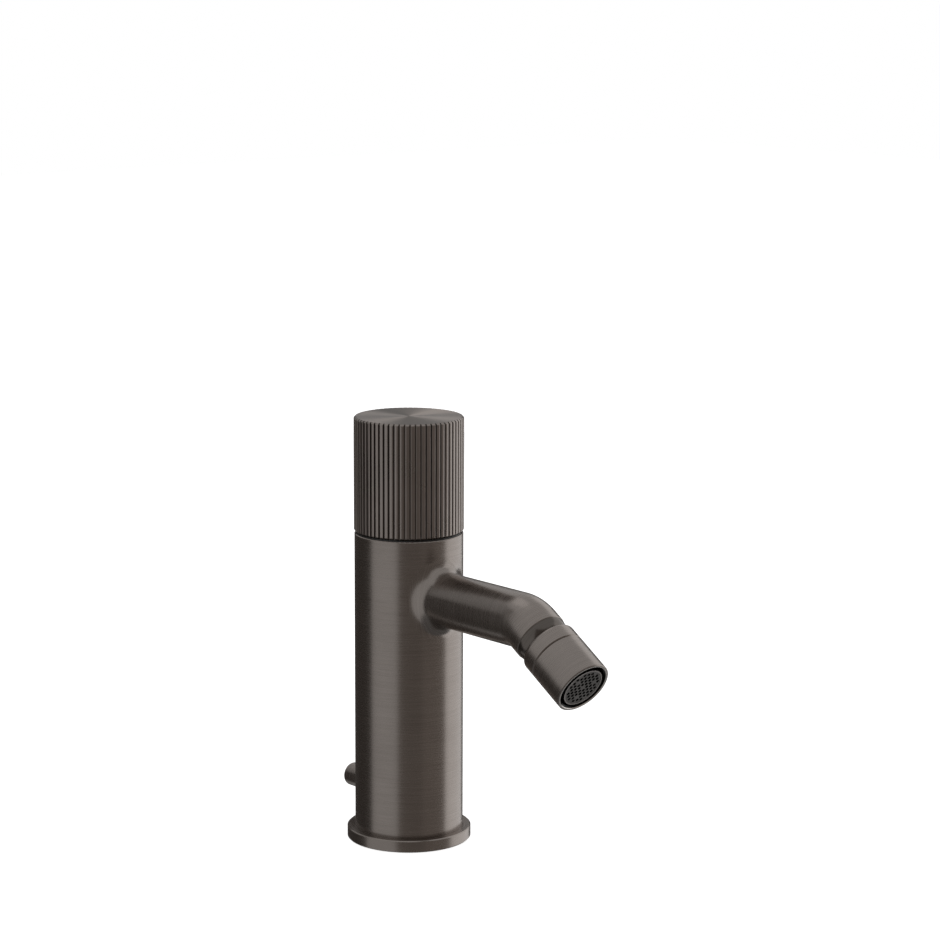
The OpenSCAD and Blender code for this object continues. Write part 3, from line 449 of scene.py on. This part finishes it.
class Shell:
    """A closed mesh that is laid up row by row."""

    def __init__(self) -> None:
        """Starts empty."""
        self.points: list[Point] = []
        self.faces: list[tuple[int, ...]] = []
        self.finishes: list[int] = []

    def row(self, points: Iterable[Sequence[float]]) -> list[int]:
        """Adds a row of points.

        Args:
            points: places in millimetres.

        Returns:
            The numbers of the new points.
        """
        start = len(self.points)
        self.points.extend(tuple(c * MM for c in p) for p in points)
        return list(range(start, len(self.points)))

    def join(self, a: Sequence[int], b: Sequence[int], finish: int = 0,
             closed: bool = True) -> None:
        """Lays four-sided faces between two rows.

        Args:
            a: first row.
            b: second row.
            finish: number of the finish on these faces.
            closed: whether the rows run all the way round.
        """
        count = len(a)
        for i in range(count if closed else count - 1):
            j = (i + 1) % count
            self.add((a[i], a[j], b[j], b[i]), finish)

    def add(self, face: Sequence[int], finish: int = 0) -> None:
        """Adds one face."""
        self.faces.append(tuple(face))
        self.finishes.append(finish)

    def build(self, name: str, materials: Sequence[bpy.types.Material]) -> bpy.types.Object:
        """Makes the object.

        Args:
            name: its name.
            materials: its finishes, in order.

        Returns:
            The finished object.
        """
        mesh = bpy.data.meshes.new(name)
        mesh.from_pydata(self.points, [], self.faces)
        for material in materials:
            mesh.materials.append(material)
        mesh.polygons.foreach_set("material_index", self.finishes)
        made = bpy.data.objects.new(name, mesh)
        bpy.context.scene.collection.objects.link(made)
        pick(made)
        bpy.ops.object.mode_set(mode="EDIT")
        bpy.ops.mesh.select_all(action="SELECT")
        bpy.ops.mesh.remove_doubles(threshold=1e-7)
        bpy.ops.mesh.normals_make_consistent(inside=False)
        bpy.ops.object.mode_set(mode="OBJECT")
        bpy.ops.object.shade_smooth_by_angle(angle=SHARP)
        return made


def pick(*objects: bpy.types.Object) -> None:
    """Selects only these objects and makes the first one active.

    Args:
        objects: what is selected.
    """
    bpy.ops.object.select_all(action="DESELECT")
    for each in objects:
        each.select_set(True)
    bpy.context.view_layer.objects.active = objects[0]


def cut(piece: bpy.types.Object, tool: bpy.types.Object) -> None:
    """Cuts a piece with a tool body and removes the tool.

    Args:
        piece: what is cut.
        tool: the closed body that is taken away from it.
    """
    pick(piece)
    modifier = piece.modifiers.new("cut", "BOOLEAN")
    modifier.operation = "DIFFERENCE"
    modifier.solver = "MANIFOLD"
    modifier.object = tool
    bpy.ops.object.modifier_apply(modifier=modifier.name)
    bpy.data.objects.remove(tool, do_unlink=True)


def settle(piece: bpy.types.Object) -> None:
    """Writes a piece's place, turn and size into its mesh."""
    pick(piece)
    bpy.ops.object.transform_apply(location=True, rotation=True, scale=True)


def rod(radius: float, length: float, centre: Sequence[float], axis: Vector,
        sides: int = 96) -> bpy.types.Object:
    """A round bar, for cutting.

    Args:
        radius: in millimetres.
        length: in millimetres.
        centre: its middle, in millimetres.
        axis: its direction.
        sides: number of its sides.

    Returns:
        The bar.
    """
    bpy.ops.object.select_all(action="DESELECT")
    bpy.ops.mesh.primitive_cylinder_add(
        vertices=sides, radius=radius * MM, depth=length * MM,
        location=[c * MM for c in centre], rotation=axis.to_track_quat("Z", "Y").to_euler())
    made = bpy.context.object
    settle(made)
    return made


# Sub-assemblies


@dataclass
class MixerSkin:
    """The column and the spout as one brazed and brushed skin, with a rolled corner between."""

    body_r: float = 22.0
    bore_r: float = 19.8
    top: float = 127.0
    top_edge: float = 0.3
    lip_r: float = 18.2
    lip_h: float = 5.4
    foot: float = 1.6
    spout_r: float = 10.9
    spout_z: float = 103.0
    reach: float = 73.0
    bend_r: float = 15.5
    tail: float = 9.45
    end_edge: float = 0.3
    socket_r: float = 9.6
    socket_l: float = 4.5
    water_r: float = 9.1
    root_r: float = 5.6
    root_more: float = 4.4
    slot_half: float = 3.4
    slot_low: float = 17.5
    slot_high: float = 32.5
    slot_in: float = 3.0
    slot_out: float = 2.0
    slot_sides: int = 48
    lower_rows: tuple[float, ...] = (6.0, 25.0, 45.0, 65.0)
    upper_row: float = 123.5
    level_start: float = 38.0
    level_shares: tuple[float, ...] = (0.2, 0.45, 0.7, 1.0)
    level_rows: tuple[float, ...] = (46.0, 54.0, 62.0)
    water_in: float = 19.0
    around: int = 192
    patch: int = 24
    patch_rings: int = 6
    corner_rows: int = 14
    bend_rows: int = 18
    shell: Shell = field(default_factory=Shell)

    def build(self) -> bpy.types.Object:
        """Builds and dresses the skin.

        Returns:
            The finished piece.
        """
        hole = self.column()
        self.spout(hole)
        materials = [Brushed("gunmetal_column", Grain.ALONG_Z).material(),
                     Brushed("gunmetal_spout", Grain.ALONG_Y).material(),
                     Brushed("gunmetal_spout_tail", Grain.ALONG_NOZZLE).material()]
        made = self.shell.build("mixer_skin", materials)
        cut(made, rod(self.water_r, self.reach - self.water_in,
                      (0, -(self.reach + self.water_in) / 2, self.spout_z), Vector((0, 1, 0))))
        cut(made, self.slot_tool())
        pick(made)
        bpy.ops.object.shade_smooth_by_angle(angle=SHARP)
        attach(made, "fixed_body")
        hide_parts("column", "spout")
        return made

    def on_column(self, radius: float, step: float, z: float) -> Point:
        """A point at a radius, some steps round from the spout's side."""
        angle = math.tau * step / self.around
        return (radius * math.sin(angle), -radius * math.cos(angle), z)

    def circle(self, radius: float, z: float) -> list[int]:
        """A level row round the column."""
        return self.shell.row(self.on_column(radius, j, z) for j in range(self.around))

    def column(self) -> list[int]:
        """Lays up the column round the spout's hole.

        Returns:
            The row of points round the hole.
        """
        half = self.patch
        cell = self.body_r * math.tau / self.around
        low = self.spout_z - half * cell
        shell = self.shell
        outer = [self.circle(self.body_r, z) for z in (self.foot, *self.lower_rows)]
        outer += [self.circle(self.body_r, low + i * cell) for i in range(2 * half + 1)]
        first = 1 + len(self.lower_rows)
        outer += [self.circle(self.body_r, z) for z in (self.upper_row, self.top - self.top_edge)]
        for i in range(len(outer) - 1):
            if first <= i < first + 2 * half:
                shell.join(outer[i][half:self.around - half + 1],
                           outer[i + 1][half:self.around - half + 1], 0, closed=False)
            else:
                shell.join(outer[i], outer[i + 1])
        inner = [self.circle(self.body_r - self.top_edge, self.top),
                 self.circle(self.lip_r, self.top),
                 self.circle(self.lip_r, self.top - self.lip_h),
                 self.circle(self.bore_r, self.top - self.lip_h),
                 self.circle(self.bore_r, self.foot)]
        rows = [outer[-1]] + inner + [outer[0]]
        for a, b in zip(rows, rows[1:]):
            shell.join(a, b)
        return self.patch_round(outer[first:first + 2 * half + 1])

    def patch_round(self, grid: list[list[int]]) -> list[int]:
        """Fills the square patch between the column's grid and the hole.

        Args:
            grid: the column's rows at the patch, from the lowest up.

        Returns:
            The row of points round the hole.
        """
        half = self.patch
        edge: list[tuple[int, float, float]] = []
        for k in range(self.around):
            side, part = divmod(k + half, 2 * half)
            step = part - half
            j, i = ((step, half), (half, -step), (-step, -half), (-half, step))[side % 4]
            edge.append((grid[i + half][j % self.around], j * 360.0 / self.around,
                         i * self.body_r * math.tau / self.around))
        hole = []
        for k in range(self.around):
            x, _, z = self.corner_mid(k)
            angle = math.degrees(math.asin(x / (self.body_r + self.root_at(k))))
            hole.append((angle, z - self.spout_z))
        row = [e[0] for e in edge]
        for ring in range(1, self.patch_rings + 1):
            t = ring / self.patch_rings
            points = []
            for (_, a0, v0), (a1, v1) in zip(edge, hole):
                angle = a0 + (a1 - a0) * t
                points.append(self.on_column(self.body_r, angle * self.around / 360.0,
                                             self.spout_z + v0 + (v1 - v0) * t))
            fresh = self.shell.row(points)
            self.shell.join(row, fresh)
            row = fresh
        return row

    def root_at(self, k: int) -> float:
        """Radius of the rolled corner, k steps round the spout."""
        return self.root_r + self.root_more * math.sin(math.tau * k / self.around) ** 2

    def corner_mid(self, k: int) -> Point:
        """Finds the middle of the ball that rolls in the corner.

        Args:
            k: steps round the spout.

        Returns:
            The middle in millimetres.
        """
        angle = math.tau * k / self.around
        reach = self.spout_r + self.root_at(k)
        x = reach * math.sin(angle)
        return (x, -math.sqrt((self.body_r + self.root_at(k)) ** 2 - x * x),
                self.spout_z + reach * math.cos(angle))

    def corner(self, k: int, t: float) -> Point:
        """Finds a point of the rolled corner.

        Args:
            k: steps round the spout.
            t: share of the way from the column to the spout.

        Returns:
            The point in millimetres.
        """
        angle = math.tau * k / self.around
        middle = Vector(self.corner_mid(k))
        to_spout = Vector((-math.sin(angle), 0.0, -math.cos(angle)))
        to_body = -Vector((middle.x, middle.y, 0.0)).normalized()
        return tuple(middle + self.root_at(k) * to_body.slerp(to_spout, t))

    def spout(self, hole: list[int]) -> None:
        """Lays up the corner, the level stretch, the bend and the tail with its socket.

        Args:
            hole: the row of points round the column's hole.
        """
        row = hole
        for i in range(1, self.corner_rows + 1):
            fresh = self.shell.row(self.corner(k, i / self.corner_rows) for k in range(self.around))
            self.shell.join(row, fresh, 1)
            row = fresh
        start = [self.corner(k, 1.0)[1] for k in range(self.around)]
        for t in self.level_shares:
            fresh = self.shell.row(
                self.on_spout(k, self.spout_r, y - (self.level_start + y) * t)
                for k, y in enumerate(start))
            self.shell.join(row, fresh, 1)
            row = fresh
        leg = self.bend_r * math.tan(SPOUT_ANGLE / 2)
        for y in (*self.level_rows, self.reach - leg):
            fresh = self.shell.row(self.on_spout(k, self.spout_r, -y) for k in range(self.around))
            self.shell.join(row, fresh, 1)
            row = fresh
        for i in range(1, self.bend_rows + 1):
            fresh = self.ring(self.spout_r, SPOUT_ANGLE * i / self.bend_rows, 0.0)
            self.shell.join(row, fresh, 1 if i <= self.bend_rows / 2 else 2)
            row = fresh
        end = self.tail - leg
        for radius, past in ((self.spout_r, end * 0.5), (self.spout_r, end - self.end_edge),
                             (self.spout_r - self.end_edge, end), (self.socket_r, end),
                             (self.socket_r, end - self.socket_l)):
            fresh = self.ring(radius, SPOUT_ANGLE, past)
            self.shell.join(row, fresh, 2)
            row = fresh
        self.shell.add(row, 2)

    def on_spout(self, k: int, radius: float, y: float) -> Point:
        """A point of the level stretch."""
        angle = math.tau * k / self.around
        return (radius * math.sin(angle), y, self.spout_z + radius * math.cos(angle))

    def ring(self, radius: float, turn: float, past: float) -> list[int]:
        """Adds a row round the bend.

        Args:
            radius: of the row.
            turn: angle that the bend has reached.
            past: straight way past that turn, in millimetres.

        Returns:
            The numbers of the row's points.
        """
        leg = self.bend_r * math.tan(SPOUT_ANGLE / 2)
        ahead = Vector((0.0, -math.cos(turn), -math.sin(turn)))
        up = Vector((0.0, -math.sin(turn), math.cos(turn)))
        middle = Vector((0.0, -(self.reach - leg), self.spout_z - self.bend_r))
        middle += up * self.bend_r + ahead * past
        points = []
        for k in range(self.around):
            angle = math.tau * k / self.around
            points.append(middle + radius * (math.sin(angle) * Vector((1, 0, 0))
                                             + math.cos(angle) * up))
        return self.shell.row(points)

    def slot_tool(self) -> bpy.types.Object:
        """Builds the tool body for the slot at the back.

        Returns:
            The tool body.
        """
        tool = Shell()
        rows = []
        for y in (self.bore_r - self.slot_in, self.body_r + self.slot_out):
            points = []
            for i in range(self.slot_sides):
                angle = math.tau * (i + 0.5) / self.slot_sides
                z = self.slot_high if math.sin(angle) > 0 else self.slot_low
                points.append((self.slot_half * math.cos(angle), y,
                               z + self.slot_half * math.sin(angle)))
            rows.append(tool.row(points))
        tool.join(rows[0], rows[1])
        tool.add(rows[0])
        tool.add(rows[1])
        return tool.build("slot_tool", [])


@dataclass
class RibbedKnob:
    """The turning knob: a cup with fine upright ribs and a spun top."""

    low: float = 127.8
    height: float = 46.5
    ribs: int = 64
    rib_w: float = 1.6
    rib_crest: float = 3.0
    rib_round: float = 0.25
    crest_r: float = 22.2
    skin_r: float = 21.2
    turn: float = -1.1
    edge: float = 0.65
    soft: float = 0.12
    skirt_in: float = 19.2
    step_z: float = 142.85
    upper_in: float = 17.5
    cap: float = 4.0
    arc_points: int = 7
    round_points: int = 4
    wall_points: int = 2
    groove_points: int = 2
    edge_rows: int = 8
    side_rows: tuple[float, ...] = (0.2, 0.4, 0.6, 0.8)
    rim: float = 0.4
    grub_r: float = 2.05
    grub_l: float = 8.0
    grub_sides: int = 48
    shell: Shell = field(default_factory=Shell)

    def build(self) -> bpy.types.Object:
        """Builds and dresses the knob.

        Returns:
            The finished piece.
        """
        shell = self.shell
        top = self.low + self.height
        deep = self.edge + self.soft
        steps = [i / self.edge_rows for i in range(self.edge_rows + 1)]
        levels = [self.low + deep * t for t in steps]
        levels += [self.low + self.height * t for t in self.side_rows]
        levels += [top - deep * (1 - t) for t in steps]
        rows = [shell.row(self.outline(z)) for z in levels]
        crest = 2 * (self.arc_points // 2 + self.round_points) + 1
        skip = self.wall_points
        count = len(self.offsets())
        for a, b in zip(rows, rows[1:]):
            for i in range(len(a)):
                j = (i + 1) % len(a)
                # Groove floors and rib walls take finish 2, a darker colour that is painted shade.
                on_crest = skip <= i % count < skip + crest - 1
                shell.add((a[i], a[j], b[j], b[i]), 0 if on_crest else 2)
        inside_low = self.round_row(self.skirt_in, self.low)
        chain = [rows[0], inside_low, self.round_row(self.skirt_in, self.step_z),
                 self.round_row(self.upper_in, self.step_z),
                 self.round_row(self.upper_in, top - self.cap)]
        for a, b in zip(chain, chain[1:]):
            shell.join(a, b, 0)
        shell.add(chain[-1], 0)
        rim = self.round_row(self.skin_r - self.rim, top)
        shell.join(rows[-1], rim, 1)
        shell.add(rim, 1)
        materials = [Brushed("gunmetal_ribs", Grain.ALONG_Z, (0.296, 0.261, 0.240),
                             (0.324, 0.287, 0.264), roughness=0.28, spread=0.03,
                             line=0.0, relief=0.0).material(),
                     # gunmetal_spun_top_painted_rays: wide dark to light range for the painted
                     # highlight rays.
                     Brushed("gunmetal_spun_top_painted_rays", Grain.SPUN_TOP, (0.108, 0.093, 0.083),
                             (0.505, 0.437, 0.396), roughness=0.35, line=3600.0, relief=0.3,
                             spun=0.75, painted_rays=True).material(),
                     # gunmetal_grooves_painted_shade: painted shade, darker than the crests.
                     Brushed("gunmetal_grooves_painted_shade", Grain.ALONG_Z, (0.176, 0.154, 0.140),
                             (0.196, 0.172, 0.157), roughness=0.35, spread=0.03,
                             line=0.0, relief=0.0).material()]
        made = shell.build("ribbed_knob", materials)
        low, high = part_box("knob_grub_screw")
        middle = (low.z + high.z) / 2 / MM
        cut(made, rod(self.grub_r, self.grub_l, (0, self.skin_r, middle), Vector((0, 1, 0)),
                      self.grub_sides))
        pick(made)
        bpy.ops.object.shade_smooth_by_angle(angle=SHARP)
        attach(made, "turning_knob")
        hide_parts("knob")
        return made

    def offsets(self) -> list[tuple[float, float]]:
        """Works out the outline within one rib and groove.

        Returns:
            The angle and the radius of each point.
        """
        half = self.rib_w / 2
        ball = self.rib_round
        middle = self.crest_r - self.rib_crest
        lean = math.asin((half - ball) / (self.rib_crest - ball))
        corner = middle + (self.rib_crest - ball) * math.cos(lean)
        right = []
        for i in range(1, self.arc_points // 2 + 1):
            a = lean * i / (self.arc_points // 2)
            right.append((middle + self.rib_crest * math.cos(a), self.rib_crest * math.sin(a)))
        for i in range(1, self.round_points + 1):
            a = lean + (math.pi / 2 - lean) * i / self.round_points
            right.append((corner + ball * math.cos(a), half - ball + ball * math.sin(a)))
        foot = math.sqrt(self.skin_r ** 2 - half ** 2)
        for i in range(1, self.wall_points + 1):
            right.append((corner + (foot - corner) * i / self.wall_points, half))
        flat = [(x, -y) for x, y in reversed(right)] + [(self.crest_r, 0.0)] + right
        points = [(math.atan2(y, x), math.hypot(x, y)) for x, y in flat]
        last = points[-1][0]
        first = points[0][0] + math.tau / self.ribs
        for i in range(1, self.groove_points + 1):
            points.append((last + (first - last) * i / (self.groove_points + 1), self.skin_r))
        return points

    def eased(self, drop: float) -> float:
        """A ramp that starts from zero with a small round.

        Args:
            drop: height below the ramp's start, in millimetres.

        Returns:
            How far the outline stands in there.
        """
        if drop <= -self.soft:
            return 0.0
        if drop >= self.soft:
            return drop
        return (drop + self.soft) ** 2 / (4 * self.soft)

    def outline(self, z: float) -> list[Point]:
        """Works out the ribbed outline at a height, held inside the chamfers.

        Args:
            z: the height in millimetres.

        Returns:
            Its points.
        """
        inside = min(z - self.low, self.low + self.height - z)
        limit = self.crest_r - self.eased(self.edge - inside)
        points = []
        for rib in range(self.ribs):
            for angle, radius in self.offsets():
                a = angle + math.radians(self.turn) + math.tau * rib / self.ribs
                r = min(radius, limit)
                points.append((r * math.cos(a), r * math.sin(a), z))
        return points

    def round_row(self, radius: float, z: float) -> list[int]:
        """Adds a plain round row with as many points as the outline.

        Args:
            radius: of the row.
            z: its height.

        Returns:
            The numbers of the row's points.
        """
        points = []
        for rib in range(self.ribs):
            for angle, _ in self.offsets():
                a = angle + math.radians(self.turn) + math.tau * rib / self.ribs
                points.append((radius * math.cos(a), radius * math.sin(a), z))
        return self.shell.row(points)


@dataclass
class CarriedNodes:
    """The CAD nodes that keep their own shape and get a finish."""

    finishes: dict[str, tuple[str, ...]] = field(default_factory=lambda: {
        "foot": ("base_flange",),
        "ball": ("swivel_ball",),
        "collar": ("nozzle_collar",),
        "sleeve": ("nozzle_sleeve",),
        "drain": ("drain_knob",),
        "brass": ("base_block", "cold_inlet_tube", "hot_inlet_tube", "valve_core",
                  "cartridge_spindle", "cartridge_nut", "handle_adapter", "swivel_stud",
                  "stud_nut"),
        "steel": ("tie_rods", "spindle_screw", "knob_grub_screw", "drain_pin"),
        "screens": ("aerator_screens",),
        "ceramic": ("lower_disc", "upper_disc"),
        "acetal": ("rod_guide", "cartridge_base", "disc_driver", "limit_ring",
                   "cartridge_housing", "drain_carriage", "swivel_liner"),
        "dark_acetal": ("knob_glide_ring", "drain_slot_guide"),
        "cage": ("aerator_cage",),
        "grid": ("aerator_grid",),
        "rubber": ("base_gasket", "tube_o_rings", "core_o_rings", "port_seals",
                   "spindle_o_ring", "swivel_seal", "aerator_seal"),
    })

    def dress(self) -> None:
        """Gives each node its finish."""
        looks = self.materials()
        for look, nodes in self.finishes.items():
            for name in nodes:
                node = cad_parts.get(name)
                if node is None:
                    LOG.info("no node %s", name)
                    continue
                if not node.material_slots:
                    node.data.materials.append(looks[look])
                for slot in node.material_slots:
                    slot.material = looks[look]
                LOG.info("%s: %s", name, look)

    def front(self, name: str) -> float:
        """How far along the nozzle's axis a node reaches, in metres."""
        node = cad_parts[name]
        return max(v.co.dot(NOZZLE_AXIS) for v in node.data.vertices)

    def materials(self) -> dict[str, bpy.types.Material]:
        """Builds the finishes.

        Returns:
            Each finish by its short name.
        """
        return {
            "foot": Brushed("gunmetal_foot", Grain.SPUN_TOP).material(),
            # The ball's dark colour is painted shade for the neck between spout and collar.
            "ball": Brushed("gunmetal_ball_painted_shade", Grain.ALONG_NOZZLE, (0.122, 0.108, 0.098),
                            (0.156, 0.138, 0.125), roughness=0.2).material(),
            "collar": Brushed("gunmetal_collar", Grain.ALONG_NOZZLE).material(),
            # Sleeve: painted shade inside the bore and a painted highlight ring on the lip.
            "sleeve": Brushed("gunmetal_sleeve_painted_shade_and_highlight", Grain.ALONG_NOZZLE, painted_shade_bore=0.01045,
                              highlight_lip=0.0112).material(),
            "drain": Brushed("gunmetal_drain", Grain.ALONG_Y).material(),
            "brass": Turned("brass_turned", (0.66, 0.49, 0.24), (0.78, 0.60, 0.33),
                            0.32).material(),
            "steel": Turned("steel_turned", (0.52, 0.52, 0.53), (0.66, 0.66, 0.67),
                            0.28).material(),
            # The screens' near black colour is painted shade inside the aerator.
            "screens": Turned("steel_screens_painted_shade", (0.045, 0.043, 0.042), (0.075, 0.072, 0.07),
                              0.45).material(),
            "ceramic": Moulded("ceramic_lapped", (0.80, 0.79, 0.76), (0.88, 0.87, 0.84), 0.18,
                               900.0, 0.03).material(),
            "acetal": Moulded("acetal_pale", (0.70, 0.68, 0.62), (0.78, 0.76, 0.70),
                              0.42).material(),
            "dark_acetal": Moulded("acetal_dark", (0.018, 0.018, 0.018), (0.03, 0.03, 0.03),
                                   0.45).material(),
            # Cage and grid: painted shade behind their front faces.
            "cage": Moulded("acetal_cage_painted_shade", (0.30, 0.285, 0.275), (0.36, 0.34, 0.33), 0.3,
                            front=self.front("aerator_cage")).material(),
            "grid": Moulded("acetal_grid_painted_shade", (0.11, 0.105, 0.10), (0.15, 0.144, 0.138), 0.35,
                            front=self.front("aerator_grid")).material(),
            "rubber": Moulded("rubber_seals", (0.015, 0.015, 0.015), (0.03, 0.03, 0.03),
                              0.65).material(),
        }


# Studio


WARM = (1.0, 0.90, 0.83)
BACK_SPLIT = 0.335


@dataclass(frozen=True)
class Panel:
    """A curved studio panel, by its angles round the object and its height."""

    start: float
    end: float
    glow: float
    side: Side
    split: float = 0.30
    colour: Colour = (1.0, 1.0, 1.0)


@dataclass
class Studio:
    """White surroundings, panels that the metal mirrors, the floor and the camera."""

    eye: Point = (-0.72989, -0.90712, 0.36370)
    ahead: Point = (0.63284, 0.75339, -0.17865)
    right: Point = (0.76609, -0.64272, 0.00332)
    above: Point = (0.11231, 0.13896, 0.98391)
    lens: float = 112.69
    sensor: float = 36.0
    radius: float = 1.0
    floor_z: float = -0.0003
    top_z: float = 1.05
    bottom_z: float = -0.75
    gap: float = 0.01
    ceiling_glow: float = 0.52
    ground_glow: float = 0.15
    lamp_y: float = 0.45
    lamp_r: float = 0.3
    lamp_glow: float = 0.8
    bounce_x: float = 0.05
    bounce_y: float = 0.75
    bounce_r: float = 0.5
    bounce_glow: float = 0.36
    disc_sides: int = 64
    facet: float = 6.0
    soft_light: float = 0.5
    floor_size: float = 6.0
    floor_tone: float = 0.86
    floor_glow: float = 0.85
    clip: tuple[float, float] = (0.05, 50.0)
    panels: tuple[Panel, ...] = (
        Panel(-84, -22, 0.51, Side.LOW),
        Panel(-22, 30, 0.17, Side.LOW, colour=WARM),
        Panel(30, 84, 0.22, Side.LOW, colour=WARM),
        Panel(84, 150, 0.98, Side.LOW),
        Panel(150, 276, 0.06, Side.LOW, BACK_SPLIT, WARM),
        Panel(-84, -22, 0.50, Side.HIGH),
        Panel(-22, 84, 0.18, Side.HIGH, colour=WARM),
        Panel(84, 150, 0.9, Side.HIGH),
        Panel(150, 165, 0.9, Side.HIGH, BACK_SPLIT),
        Panel(165, 200, 0.55, Side.HIGH, BACK_SPLIT),
        Panel(200, 240, 0.42, Side.HIGH, BACK_SPLIT),
        Panel(240, 264, 0.32, Side.HIGH, BACK_SPLIT),
        Panel(264, 276, 0.10, Side.HIGH, BACK_SPLIT, WARM))

    def build(self) -> None:
        """Builds everything round the object."""
        self.world()
        for number, panel in enumerate(self.panels):
            self.wall(number, panel)
        self.disc("studio_ceiling", (0.0, 0.0, self.top_z), self.radius, self.ceiling_glow)
        self.disc("studio_lamp", (0.0, self.lamp_y, self.top_z - self.gap), self.lamp_r,
                  self.lamp_glow)
        self.disc("studio_ground", (0.0, 0.0, self.bottom_z), self.radius, self.ground_glow)
        self.disc("studio_bounce", (self.bounce_x, self.bounce_y, self.bottom_z + self.gap),
                  self.bounce_r, self.bounce_glow)
        self.floor()
        self.camera()

    def world(self) -> None:
        """White for the camera and for mirrors, soft grey light for the rest."""
        world = bpy.data.worlds.new("white_room")
        world.use_nodes = True
        bpy.context.scene.world = world
        graph = Graph(world.node_tree)
        path = graph.tree.nodes.new("ShaderNodeLightPath")
        seen = Field(graph, path.outputs["Is Camera Ray"])
        seen = graph.math("MAXIMUM", seen, Field(graph, path.outputs["Is Glossy Ray"]))
        seen = graph.math("MAXIMUM", seen, Field(graph, path.outputs["Is Transmission Ray"]))
        strength = seen.spread(0.0, 1.0, self.soft_light, 1.0)
        glow = graph.node("ShaderNodeBackground", {"Color": (1.0, 1.0, 1.0, 1.0),
                                                   "Strength": strength})
        out = graph.tree.nodes.new("ShaderNodeOutputWorld")
        graph.tree.links.new(glow.socket, out.inputs["Surface"])

    def glowing(self, name: str, strength: float, sampled: bool,
                colour: Colour = (1.0, 1.0, 1.0)) -> bpy.types.Material:
        """Builds a plain glowing material for a panel.

        Args:
            name: its name.
            strength: how bright it glows.
            sampled: whether it is sampled as a lamp.
            colour: of its light.

        Returns:
            The material.
        """
        made = bpy.data.materials.new(name)
        made.use_nodes = True
        graph = Graph(made.node_tree)
        light = graph.node("ShaderNodeEmission", {"Color": (*colour, 1.0), "Strength": strength})
        out = graph.tree.nodes.new("ShaderNodeOutputMaterial")
        graph.tree.links.new(light.socket, out.inputs["Surface"])
        made.cycles.emission_sampling = "AUTO" if sampled else "NONE"
        return made

    def direction(self, angle: float) -> Vector:
        """Finds a level direction.

        Args:
            angle: degrees from the direction towards the camera.

        Returns:
            The direction.
        """
        towards = -Vector((self.ahead[0], self.ahead[1], 0.0)).normalized()
        side = Vector((self.right[0], self.right[1], 0.0)).normalized()
        a = math.radians(angle)
        return towards * math.cos(a) + side * math.sin(a)

    def wall(self, number: int, panel: Panel) -> None:
        """Builds one curved panel.

        Args:
            number: for its name.
            panel: what it spans and how it glows.
        """
        low, high = ((self.bottom_z, panel.split) if panel.side is Side.LOW
                     else (panel.split, self.top_z))
        shell = Shell()
        steps = max(2, int((panel.end - panel.start) / self.facet))
        rows = []
        for z in (low, high):
            points = []
            for i in range(steps + 1):
                d = self.direction(panel.start + (panel.end - panel.start) * i / steps)
                points.append((d.x * self.radius / MM, d.y * self.radius / MM, z / MM))
            rows.append(shell.row(points))
        shell.join(rows[0], rows[1], 0, closed=False)
        name = f"studio_panel_{number}"
        made = shell.build(name, [self.glowing(name, panel.glow, panel.side is Side.HIGH,
                                               panel.colour)])
        self.hide(made)

    def disc(self, name: str, centre: Point, radius: float, glow: float) -> None:
        """Builds a round level panel over or under the object.

        Args:
            name: its name.
            centre: its middle, in metres.
            radius: in metres.
            glow: how bright it glows.
        """
        bpy.ops.object.select_all(action="DESELECT")
        bpy.ops.mesh.primitive_circle_add(vertices=self.disc_sides, radius=radius,
                                          fill_type="NGON", location=centre)
        made = bpy.context.object
        made.name = name
        made.data.materials.append(self.glowing(name, glow, centre[2] > 0))
        self.hide(made)

    def hide(self, made: bpy.types.Object) -> None:
        """Keeps a studio panel out of the camera's sight.

        Args:
            made: the panel.
        """
        made.visible_camera = False
        made.visible_shadow = False

    def floor(self) -> None:
        """White floor that keeps the object's shadow."""
        bpy.ops.object.select_all(action="DESELECT")
        bpy.ops.mesh.primitive_plane_add(size=self.floor_size, location=(0, 0, self.floor_z))
        made = bpy.context.object
        made.name = "studio_floor"
        look, graph, shader = surface("floor_white", open_below=True)
        shader.inputs["Base Color"].default_value = (*(self.floor_tone,) * 3, 1.0)
        shader.inputs["Roughness"].default_value = 0.9
        shader.inputs["Specular IOR Level"].default_value = 0.0
        seen = graph.node("ShaderNodeLightPath", output="Is Camera Ray")
        shader.inputs["Emission Strength"].default_value = self.floor_glow
        wire(shader, "Emission Color", graph.tint(seen, (0.0, 0.0, 0.0), (1.0, 1.0, 1.0)))
        made.data.materials.append(look)
        made.visible_glossy = False

    def camera(self) -> None:
        """Camera of the fitted view."""
        data = bpy.data.cameras.new("camera")
        data.lens = self.lens
        data.sensor_width = self.sensor
        made = bpy.data.objects.new("camera", data)
        bpy.context.scene.collection.objects.link(made)
        columns = [Vector(self.right), Vector(self.above), -Vector(self.ahead)]
        turn = Matrix([[c[i] for c in columns] for i in range(3)]).to_4x4()
        made.matrix_world = Matrix.Translation(Vector(self.eye)) @ turn
        data.clip_start, data.clip_end = self.clip
        bpy.context.scene.camera = made


def main() -> None:
    """Builds the pieces in order and reports each."""
    logging.basicConfig(level=logging.INFO, format="%(message)s")
    bpy.context.scene.view_settings.view_transform = "Standard"
    makers: tuple[Callable[[], bpy.types.Object], ...] = (MixerSkin().build, RibbedKnob().build)
    for make in makers:
        made = make()
        LOG.info("%s: %d faces", made.name, len(made.data.polygons))
    CarriedNodes().dress()
    Studio().build()


if __name__ == "__main__":
    main()
